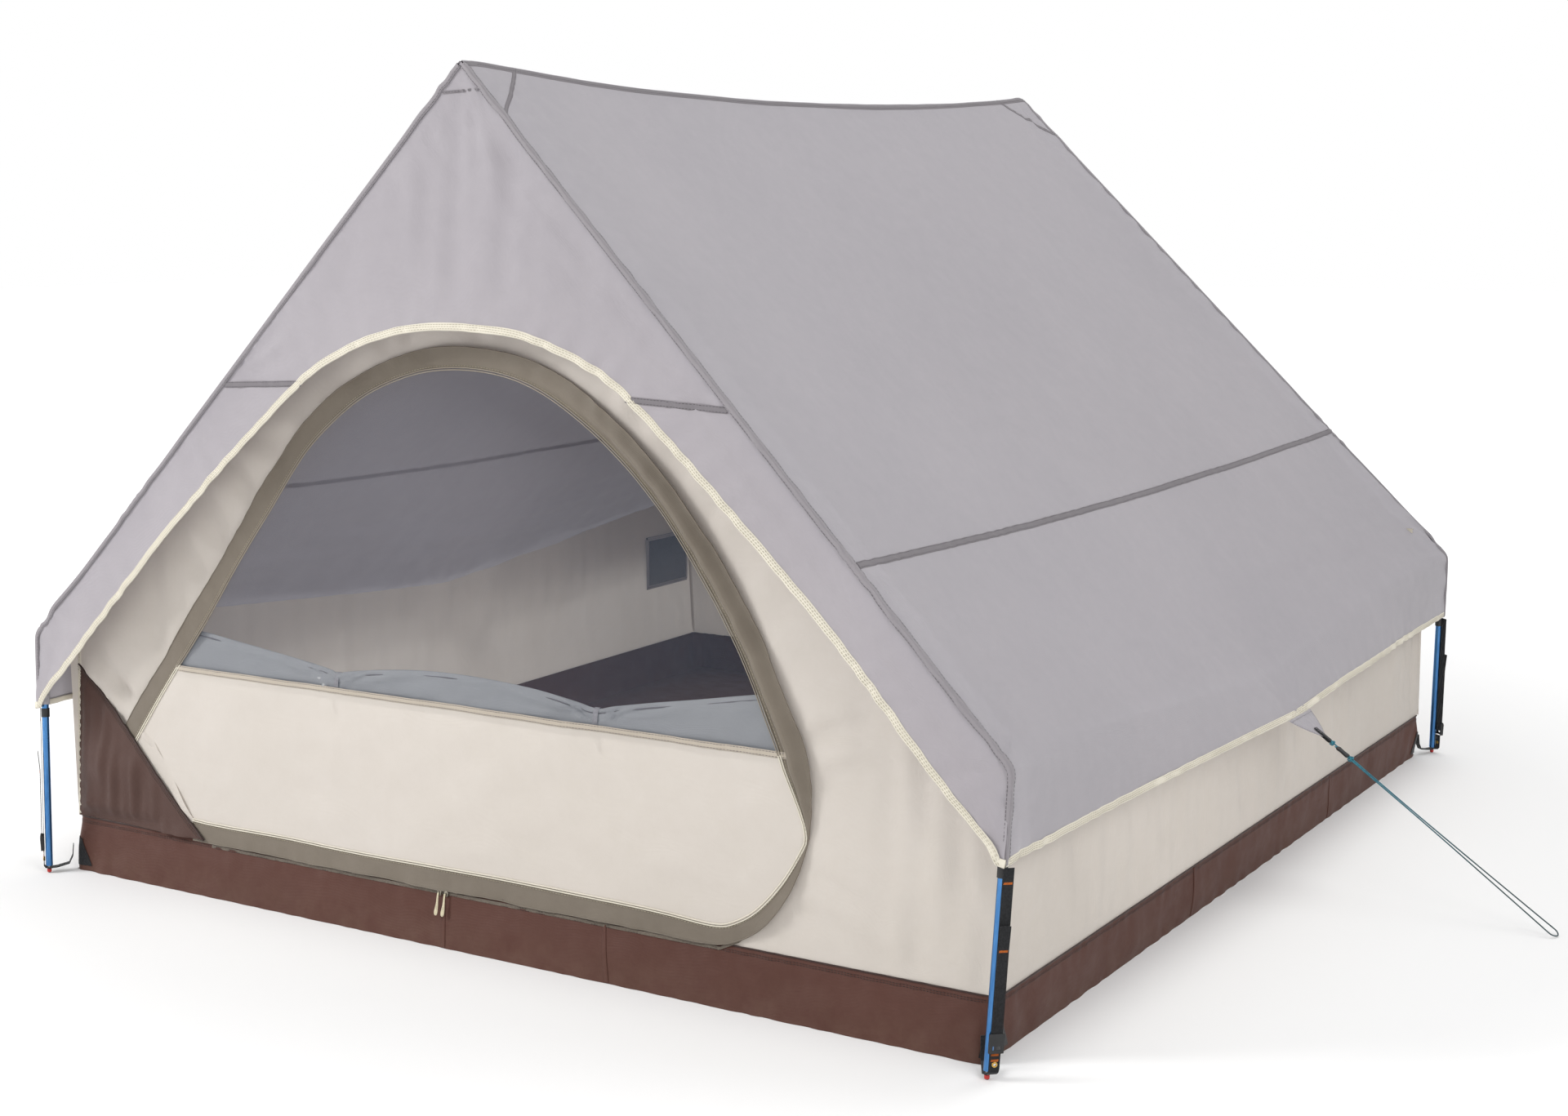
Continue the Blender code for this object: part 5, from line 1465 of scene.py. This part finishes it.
def make_door():
    window, panel = door_loops()
    sheet = cloth_panel("door_lower_cloth", [panel], 0.0150, DOOR, WALL, "fold")
    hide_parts("door_panel", "door_hinge_gusset")
    net = cloth_panel("door_window_mesh", [window], 0.0200, DOOR, NET, "fold")
    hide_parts("door_mesh_window")
    make_band()
    seam = np.stack(
        [np.linspace(window[0, 0] + 0.004, window[-1, 0] - 0.004, 140), np.full(140, WINDOW_Z)], axis=1
    )
    seams, threads = Bundle(), Bundle()
    tape(seams, DOOR, seam, 0.013, 0.0012, 0.0003)
    for shift in (-0.0042, 0.0042):
        stitches(threads, DOOR, seam, shift, 0.0018)
    seams.piece("door_window_seam", SEAM_SILL, "fold", "wall_fabric")
    threads.piece("door_window_stitching", THREAD_A, "fold", "wall_fabric")


def make_band():
    """Taupe storm band round the zip: sewn flat inside, its outer edge curls and swings a little."""
    arc, width = BAND_RUN, BAND_WIDTH
    loose = smoothstep(np.minimum(arc, arc[-1] - arc), 0.03, 0.16)
    curl = (
        0.0030 + 0.0026 * waves(arc, 0.0, 0.22, 521) + 0.0120 * BAND_BELOW
    ) * loose * (1.0 - 0.85 * BAND_NARROW)
    ripple = 0.0014 * waves(arc, 0.0, 0.060, 522) * loose
    shares = np.array([-0.02, 0.0, 0.10, 0.20, 0.27, 0.34, 0.44, 0.56, 0.70, 0.84, 0.95, 1.0])
    rows = []
    for share in shares:
        line = EDGE + side_of(EDGE) * (
            (share - 1.0) * width + 0.0010 * share * np.sin(arc / 0.05)
        ).reshape(-1, 1)
        across = max(share, 0.0)
        hump = 0.0012 * math.sin(math.pi * across)
        crest = float(smoothstep(across, 0.20, 0.42) * (1.0 - 0.85 * smoothstep(across, 0.46, 1.0)))
        ridge = 0.0190 * BAND_STAND * crest
        crease = 0.0016 * waves(
            arc, across * 0.05, 0.085, 523
        ) * math.sin(math.pi * across) * (0.3 + BAND_STAND)
        lift = 0.0009 + hump + curl * across ** 2.2 + ripple * across + ridge + crease * loose
        if share < 0:
            lift = np.full_like(lift, -0.0004)
        rows.append(DOOR(line[:, 0], line[:, 1], lift))
    band = grid("door_band_cloth", np.stack(rows, axis=1), BAND_CLOTH, "fold", flip=True)
    tube_piece("door_band_hem", rows[-1], 0.0013, BAND_CLOTH, "fold")
    pipes, dull, threads = Bundle(), Bundle(), Bundle()
    for beside in (0.0000, 0.0048):
        line = EDGE - side_of(EDGE) * (width + beside - 0.0012).reshape(-1, 1)
        points = DOOR(line[:, 0], line[:, 1], 0.0016)
        low = line[:, 1] < WINDOW_Z
        for run in np.split(np.arange(len(low)), np.where(np.diff(low))[0] + 1):
            if run[-1] + 1 < len(low):
                run = np.append(run, run[-1] + 1)
            verts, faces = tube(points[run], 0.0014, 6, False)
            (pipes if low[run[0]] else dull).raw(verts, faces)
    pipes.piece("door_band_inner_piping", BINDING, "fold", "band_fabric")
    dull.piece("door_band_window_piping", BINDING_TAUPE, "fold", "band_fabric")
    line = EDGE - side_of(EDGE) * (width * 0.88).reshape(-1, 1)
    stitches(threads, DOOR, line, 0.0, 0.0026)
    threads.piece("door_band_stitching", THREAD_B, "fold", "band_fabric")


make_door()

FLAP_TOP = [
    (-0.900, 0.545), (-0.862, 0.590), (-0.815, 0.598), (-0.700, 0.586), (-0.600, 0.575), (-0.500, 0.563),
    (-0.427, 0.553), (-0.398, 0.546), (-0.370, 0.552), (-0.280, 0.565), (-0.160, 0.576), (-0.020, 0.578),
    (0.130, 0.570), (0.240, 0.556), (0.298, 0.547), (0.340, 0.556), (0.430, 0.573), (0.540, 0.592),
    (0.650, 0.612), (0.735, 0.626),
]
TIES = (-0.398, 0.298)


def make_flap():
    """The door's own cloth cover, rolled down to the sill inside and held by two ties."""
    top = smooth_curve(FLAP_TOP, 0.010)
    xs = top[:, 0]
    heights = top[:, 1] - (WINDOW_Z - 0.016)
    tied = np.max([np.exp(-((xs - tie) / 0.035) ** 2) for tie in TIES], axis=0)
    turns = np.linspace(0.0, 2.0 * math.pi, 37)[:-1]
    rows = []
    for turn in turns:
        up = 0.5 + 0.5 * np.sign(math.sin(turn)) * abs(math.sin(turn)) ** 0.75
        out = np.sign(math.cos(turn)) * abs(math.cos(turn)) ** 0.9
        depth = 0.0062 - 0.0012 * tied
        z = WINDOW_Z - 0.016 + heights * up
        ripple = 0.0016 * waves(xs, z * 2.0, 0.16, 530) + 0.0012 * waves(xs * 0.5, z * 2.6, 0.05, 531)
        gather = sum(
            rays(xs, z, (tie, WINDOW_Z + 0.012), 0.40, 30, 0.0130, 532 + int(tie > 0)) for tie in TIES
        )
        layer = 0.0016 * smoothstep(0.30 + 0.16 * np.sin(xs * 5.0) - up, -0.02, 0.02)
        y = (
            -(WALL_Y - WALL_LEAN * z) + 0.0065 - out * (depth + ripple + layer)
            - np.maximum(out, 0.0) * gather
        )
        rows.append(np.stack([xs, y, z], axis=-1))
    grid_points = np.stack(rows, axis=1)
    flap = grid("door_flap_roll", grid_points, FLAP, "fold", closed=True)
    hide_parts("door_rolled_flap")
    lip = np.stack([xs, -(WALL_Y - WALL_LEAN * top[:, 1]) + 0.0030, top[:, 1] - 0.010], axis=-1)
    tube_piece("door_flap_hem", lip, 0.0016, SEAM_GREY, "fold")
    bands = Bundle()
    for tie in TIES:
        z_top = float(np.interp(tie, xs, top[:, 1]))
        mid_z, half_z = 0.5 * (z_top + WINDOW_Z - 0.016), 0.5 * (z_top - WINDOW_Z + 0.016) + 0.0016
        loop = []
        for turn in np.linspace(0.0, 2.0 * math.pi, 29):
            z = mid_z + half_z * np.sign(math.sin(turn)) * abs(math.sin(turn)) ** 0.8
            y = -(WALL_Y - WALL_LEAN * z) + 0.0085 - 0.0094 * math.cos(turn)
            widths = (-0.0062, -0.0058, 0.0058, 0.0062)
            loop.append([(tie + across, y - 0.0004 * math.cos(turn), z) for across in widths])
        bands.grid(np.array(loop))
        tail = []
        for share in np.linspace(0.0, 1.0, 9):
            z = WINDOW_Z + 0.018 - 0.060 * share
            y = -(WALL_Y - WALL_LEAN * z) + 0.0155 + 0.004 * math.sin(3.0 * share)
            tail.append([(tie + across + 0.012 * share, y, z) for across in (-0.0055, 0.0055)])
        bands.grid(np.array(tail))
    bands.piece("door_flap_ties", WEB_GREY, "door", "flap_fabric")


make_flap()

def stow_relief(x, z):
    """The pouch bellies out over the door's corner and lies flat along its sewn sides."""
    to_curve, along = near(STOW_CURVE[::2], x, z)
    sewn = np.minimum(1.2125 + x, np.where(x > -0.93, 0.06, z - 0.1235))
    belly = smoothstep(sewn, 0.0, 0.045)
    height = 0.0085 * belly + 0.0100 * belly * smoothstep(to_curve, 0.0, 0.14)
    height = height + 0.0048 * belly * waves(x, z * 0.25, 0.052, 540) * smoothstep(to_curve, 0.0, 0.05)
    height = (
        height + pucker(z - 0.124, x, 0.042, 0.0016, 0.03, 541) * belly
        + pucker(to_curve, along, 0.05, 0.0010, 0.02, 542) * belly
    )
    return np.maximum(height, 0.0012 + 0.0073 * smoothstep(x, -1.06, -0.93))


STOW_SURFACE = end_surface(-1, WALL_Y, WALL_LEAN, stow_relief)


def make_stow_pocket():
    outline = np.vstack([[(-1.2115, 0.124)], STOW_CURVE])
    piece = cloth_panel("stow_pocket_cloth", [outline], 0.0110, STOW_SURFACE, STOW, "tent")
    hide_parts("door_stow_pocket")
    tube_piece(
        "stow_pocket_piping", STOW_SURFACE(STOW_CURVE[:, 0], STOW_CURVE[:, 1], 0.0004), 0.0024,
        BINDING_BROWN, "tent"
    )
    threads = Bundle()
    for shift in (0.0060, 0.0110):
        stitches(threads, STOW_SURFACE, STOW_CURVE, shift, 0.0005)
    side = np.stack([np.full(30, -1.2050), np.linspace(0.130, 0.475, 30)], axis=1)
    stitches(threads, STOW_SURFACE, side, 0.0, 0.0005)
    threads.piece("stow_pocket_stitching", THREAD_C, "tent", "stow_fabric")


make_stow_pocket()

# ------------------------------------------------------------ zips on the door's sill


def rounded_loft(centres, across, over, halves, power=3.0, sides=20):
    """Closed body through soft-cornered sections: half width and half thickness at each centre."""
    turns = np.arange(sides) * 2.0 * math.pi / sides
    a = np.sign(np.cos(turns)) * np.abs(np.cos(turns)) ** (2.0 / power)
    b = np.sign(np.sin(turns)) * np.abs(np.sin(turns)) ** (2.0 / power)
    rings = [c + w * a[:, None] * across + h * b[:, None] * over for c, (w, h) in zip(centres, halves)]
    verts = np.vstack(rings)
    faces = grid_faces(len(rings), sides, 0, True)
    faces += [tuple(range(sides))[::-1], tuple(range(len(verts) - sides, len(verts)))]
    return verts, faces


def make_zip(side_name):
    low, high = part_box("zip_slider_" + side_name)
    middle = np.array((low + high) / 2.0)
    x_axis, z_axis, out = np.array([1.0, 0, 0]), np.array([0, 0, 1.0]), np.array([0, -1.0, 0])
    half_z, half_y = 0.5 * (high.z - low.z), 0.5 * (high.y - low.y)
    shape = Bundle()
    levels = np.array([-1.0, -0.94, -0.6, -0.1, 0.35, 0.8, 0.96, 1.0]) * half_z
    halves = [
        (0.0030, 0.0010), (0.0040, 0.0016), (0.0048, 0.0020), (0.0044, 0.0021), (0.0056, 0.0021),
        (0.0058, 0.0020), (0.0054, 0.0016), (0.0044, 0.0010)
    ]
    shape.raw(*rounded_loft([middle + z_axis * z - out * 0.0003 for z in levels], x_axis, out, halves))
    turns = np.linspace(0.15, math.pi - 0.15, 13)
    arch = [
        middle + out * (half_y - 0.0012 + 0.0026 * math.sin(t)) + z_axis * (0.0044 * math.cos(t))
        for t in turns
    ]
    shape.raw(*tube(np.array(arch), 0.0008, 8))
    body = shape.piece("zip_body_" + side_name, ZIP_METAL, "zip_slider_" + side_name, "zip_metal")
    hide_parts("zip_slider_" + side_name)

    low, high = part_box("zip_pull_" + side_name)
    top = np.array([0.5 * (low.x + high.x), high.y - 0.0015, high.z - 0.0012])
    foot = np.array([top[0], low.y + 0.0015, low.z + 0.0015])
    way = unit(foot - top)
    face = np.cross(way, x_axis)
    share = np.array([0.0, 0.02, 0.12, 0.30, 0.50, 0.66, 0.80, 0.90, 0.96, 1.0])
    halves = [
        (0.0012, 0.0005), (0.0020, 0.0010), (0.0022, 0.0011), (0.0024, 0.0010), (0.0029, 0.0011),
        (0.0040, 0.0013), (0.0048, 0.0014), (0.0046, 0.0014), (0.0036, 0.0012), (0.0014, 0.0005)
    ]
    length = np.linalg.norm(foot - top)
    wave = 0.0004 * np.sin(share * 9.0)
    centres = [top + way * length * s + face * w for s, w in zip(share, wave)]
    tape_body = Bundle()
    tape_body.raw(*rounded_loft(centres, x_axis, face, halves, 2.6))
    pull = tape_body.piece("zip_tape_" + side_name, PULL, "zip_pull_" + side_name, "pull_cord")
    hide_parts("zip_pull_" + side_name)
    rows = Bundle()
    for offset_x in (-0.0016, 0.0016):
        for s in np.linspace(0.60, 0.90, 5):
            dash(
                rows, top + way * length * s + x_axis * offset_x - face * 0.0014, way, -face, 0.0024,
                0.0006, 0.0004
            )
            dash(
                rows, top + way * length * s + x_axis * offset_x + face * 0.0014, way, face, 0.0024, 0.0006,
                0.0004
            )
    rows.piece("zip_tape_stitching_" + side_name, THREAD_B, "zip_pull_" + side_name, "pull_cord")


for side_name in ("left", "right"):
    make_zip(side_name)

# ------------------------------------------------------------ gear pocket on the left wall


def make_gear_pocket():
    low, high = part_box("gear_pocket")
    span, rise = high.y - low.y, high.z - low.z

    def at(y, z, lift=0.0):
        u, v = np.clip((y - low.y) / span, 0.0, 1.0), np.clip((z - low.z) / rise, 0.0, 1.0)
        belly = np.sin(math.pi * u) ** 0.5 * smoothstep(v, 0.0, 0.25)
        x = low.x + 0.0010 + 0.0075 * belly + 0.0012 * belly * waves(y, z, 0.07, 600) + lift
        return np.stack(np.broadcast_arrays(x, y, z), axis=-1)

    u, v = np.meshgrid(np.linspace(0.01, 0.99, 36), np.linspace(0.0, 1.0, 26))
    piece = grid("gear_pocket_net", at(low.y + span * u, low.z + rise * v), POCKET, "tent")
    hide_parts("gear_pocket")
    trim, threads = Bundle(), Bundle()
    inset = 0.0065
    corners = [
        (low.y + inset, high.z - inset), (low.y + inset, low.z + inset), (high.y - inset, low.z + inset),
        (high.y - inset, high.z - inset),
    ]
    for path in (resample(corners, 0.006), resample([corners[0], corners[3]], 0.006)):
        tape(trim, at, path, 0.011, 0.0012, 0.0003)
        stitches(threads, at, path, 0.0, 0.0018)
    trim.piece("gear_pocket_binding", WEB_GREY, "tent", "pocket_fabric")
    threads.piece("gear_pocket_stitching", THREAD_A, "tent", "pocket_fabric")


make_gear_pocket()

# ------------------------------------------------------------ guy points on the hems
TAB_BASE, TAB_TIP = 0.074, 0.074


def tab_surface(mirror):
    def at(across, out, lift=0.0):
        across, out = np.broadcast_arrays(np.asarray(across, float), np.asarray(out, float))
        share = np.clip(out / TAB_TIP, 0.0, 1.0)[..., None]
        width = TAB_BASE + (0.006 - TAB_BASE) * share
        side = unit(np.array([0.0, 1.0, 0.0]) * (1.0 - share) + np.array(guy_side) * share)
        ripple = (
            0.0013 * np.sin(across * 9.0 + 1.0) * np.sin(math.pi * share[..., 0])
            + 0.0010 * np.sin(across * 17.0) * (1.0 - share[..., 0])
        )
        point = np.array(HEM_MID) + side * across[..., None] * width + np.array(guy_way) * out[..., None]
        point = point + np.array(guy_up) * (ripple + lift)[..., None]
        return point * np.array([mirror, 1.0, 1.0])
    return at


def make_guy_tab(name, mirror):
    surface = tab_surface(mirror)
    u, v = np.meshgrid(np.linspace(-1.0, 1.0, 34), np.linspace(-0.0005, TAB_TIP, 22))
    piece = grid("guy_tab_cloth_" + name, surface(u, v), FLY, "tent", flip=mirror > 0)
    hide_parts("guy_tab_" + name)
    threads, tapes = Bundle(), Bundle()
    for edge in (-0.90, 0.90):
        line = np.stack([np.full(12, edge), np.linspace(0.003, TAB_TIP - 0.006, 12)], axis=1)
        points, normals = laid_line(surface, line, 0.0006)
        points = resample(points, 0.0062)
        lozenges(threads, points, np.repeat(normals[:1], len(points), axis=0), 0.0042, 0.0009, 0.0005)
    across_line = surface(np.linspace(-0.95, 0.95, 24), np.full(24, 0.006), 0.0006)
    lozenges(threads, across_line, np.repeat(normals[:1], 24, axis=0), 0.0042, 0.0009, 0.0005)
    way, over, side = (np.array(v) for v in (guy_way, guy_up, guy_side))
    route = [
        (0.046, 0.0018), (0.060, 0.0021), (0.078, 0.0022), (0.088, 0.0024), (0.0930, 0.0016), (0.0940, 0.0),
        (0.0930, -0.0016), (0.088, -0.0024), (0.078, -0.0022), (0.060, -0.0021), (0.046, -0.0018)
    ]
    route = smooth_curve(route, 0.0014)
    normal = side_of(route)
    rows = []
    for half, thick in (
        (-0.0060, 0.0), (-0.0058, 0.0005), (0.0058, 0.0005), (0.0060, 0.0), (0.0058, -0.0005),
        (-0.0058, -0.0005)
    ):
        line = route + normal * thick
        rows.append(np.array(HEM_MID) + way * line[:, :1] + over * line[:, 1:] + side * half)
    loop = np.stack(rows, axis=1) * np.array([mirror, 1.0, 1.0])
    tapes.grid(loop, closed=True)
    tapes.piece("guy_loop_" + name, WEB, "tent", "black_webbing")
    for out in (0.050, 0.056, 0.062):
        for step in np.linspace(-0.0042, 0.0042, 8):
            p = (np.array(HEM_MID) + way * out + side * step + over * 0.0026) * np.array([mirror, 1.0, 1.0])
            dash(
                threads, p, way * np.array([mirror, 1.0, 1.0]), over * np.array([mirror, 1.0, 1.0]), 0.0034,
                0.0008, 0.0004
            )
    threads.piece("guy_tab_stitching_" + name, THREAD_A, "tent", "fly_fabric")


make_guy_tab("right", 1)
make_guy_tab("left", -1)


def make_tensioner():
    """Waisted plastic runner that both strands pass through."""
    centre = guy_at(0.130, 0.0)
    way, side, over = (np.array(v) for v in (guy_way, guy_side, guy_up))
    share = np.array([-1.0, -0.95, -0.8, -0.45, 0.0, 0.45, 0.8, 0.95, 1.0])
    halves = [
        (0.0056, 0.0016), (0.0070, 0.0026), (0.0079, 0.0033), (0.0068, 0.0034), (0.0060, 0.0034),
        (0.0068, 0.0034), (0.0079, 0.0033), (0.0070, 0.0026), (0.0056, 0.0016)
    ]
    shape = Bundle()
    shape.raw(*rounded_loft([centre + way * 0.016 * s for s in share], side, over, halves, 3.2, 28))
    for a in (-0.0035, 0.0035):
        for b in (-0.0162, 0.0162):
            turns = np.linspace(0.0, 2.0 * math.pi, 19)
            ring = centre + way * b + side * a + 0.0021 * (
                np.cos(turns)[:, None] * side + np.sin(turns)[:, None] * over
            )
            shape.raw(*tube(ring, 0.0005, 6, False))
    piece = shape.piece("guy_runner", PLASTIC, "guy_tensioner", "black_plastic")
    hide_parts("guy_tensioner")


make_tensioner()

# ------------------------------------------------------------ corner hardware


def corner_axes(side, end):
    foot = np.array([side * FOOT_X, end * FOOT_Y, 0.0])
    eave = np.array([side * EAVE_X, end * EAVE_Y, EAVE_Z])
    up = unit(eave - foot)
    face = unit(np.array([side * STRAP_NORMAL[0], end * STRAP_NORMAL[1], 0.0]))
    along = np.array([-face[1], face[0], 0.0])
    base = foot + np.array([side * STRAP_SHIFT[0], end * STRAP_SHIFT[1], 0.0])
    return foot, base, up, face, along


def bar_tack(bundle, centre, up, face, along, half=0.0075, height=0.0042):
    """Dense block of stitches across a strap."""
    for place in np.arange(-half, half + 1e-6, 0.00115):
        dash(bundle, centre + along * place, unit(up + along * 0.18), face, height, 0.0010, 0.0006)


def make_corner(end_name, end, side_name, side):
    label = end_name + "_" + side_name
    foot, base, up, face, along = corner_axes(side, end)

    def strap(z, out):
        return base + up * (z / up[2]) + face * out

    tacks = Bundle()
    bar_tack(tacks, strap(0.2385, LANE + 0.0007), up, face, along)
    bar_tack(tacks, strap(0.3600, 0.0007), up, face, along)
    rise = base + face * 0.0002
    for z in (0.0385, 0.0490):
        bar_tack(tacks, rise + up * z + face * 0.0009, up, face, along, 0.0068)
    tacks.piece(label + "_bar_tacks", THREAD_D, "tent", "black_webbing")

    edges = Bundle()
    for place in (-0.0084, 0.0084):
        line = np.array([strap(z, LANE + 0.0006) + along * place for z in np.arange(0.100, 0.232, 0.0055)])
        lozenges(edges, line, np.repeat(face[None, :], len(line), axis=0), 0.0038, 0.0007, 0.0004)
    edges.piece(label + "_strap_stitching", THREAD_C, "tent", "black_webbing")

    eye = rise + up * 0.031 + face * 0.0007
    turns = np.linspace(0.0, 2.0 * math.pi, 33)
    eyelet = Bundle()
    for radius, wire, out in ((0.0042, 0.0012, 0.0004), (0.0031, 0.0008, 0.0007), (0.0042, 0.0011, -0.0020)):
        ring = eye + face * out + radius * (np.cos(turns)[:, None] * along + np.sin(turns)[:, None] * up)
        eyelet.raw(*tube(ring, wire, 10, False))
    eyelet.piece(label + "_eyelet", BRASS, "tent", "zip_metal")

    heights = np.array([0.0009, 0.0012, 0.0022, 0.0060, 0.0088, 0.0094])
    radii = np.array([0.0030, 0.0042, 0.0049, 0.0051, 0.0050, 0.0044])
    tip = np.stack([np.full(6, foot[0]), np.full(6, foot[1]), heights], axis=1)
    verts, faces = tube(tip, radii, 18)
    add_mesh(label + "_red_tip", verts, faces, RED_TIP, "tent")

    corner = around_of(np.array([side * (TUB_TOP[0] - 0.004)]), np.array([end * (TUB_TOP[1] - 0.004)]))[0]
    level = np.linspace(0.10, 0.60, 12)
    spread = np.linspace(-1.0, 1.0, 21)
    reach = (0.0046 - 0.0030 * (level - 0.10) / 0.50)[:, None]
    patch = tub_side((corner + spread[None, :] * reach) % 1.0, level[:, None] + 0.0 * spread[None, :], 0.0018)
    grid(label + "_tub_patch", patch, WEB, "tent")
    rows = Bundle()
    for sign in (-1.0, 1.0):
        place = (corner + sign * PATCH_ROW * reach[:, 0]) % 1.0
        line = tub_side(place, level, 0.0022)
        above = tub_side(place, level, 0.0042)
        picked = resample(line, 0.0052)
        normals = unit(above - line)[:1].repeat(len(picked), axis=0)
        lozenges(rows, picked, normals, 0.0038, 0.0008, 0.0005)
    rows.piece(label + "_patch_stitching", THREAD_C, "tent", "black_webbing")

    sleeve = Bundle()
    ring_z = np.linspace(0.398, 0.452, 8)
    turns = np.linspace(0.0, 2.0 * math.pi, 21)[:-1]
    across = unit(np.cross(up, face))
    ahead = np.cross(across, up)
    rings = []
    for z in ring_z:
        centre = foot + up * (z / up[2])
        flat = 0.0104 + 0.0006 * np.sin(3.0 * turns + z * 90.0)
        rings.append(
            centre + flat[:, None] * (np.cos(turns)[:, None] * across + np.sin(turns)[:, None] * ahead)
        )
    sleeve.grid(np.array(rings), closed=True)
    sleeve.piece(label + "_pole_sleeve", WEB_GREY, "tent", "black_webbing")


for end_name, end, side_name, side in CORNERS:
    make_corner(end_name, end, side_name, side)
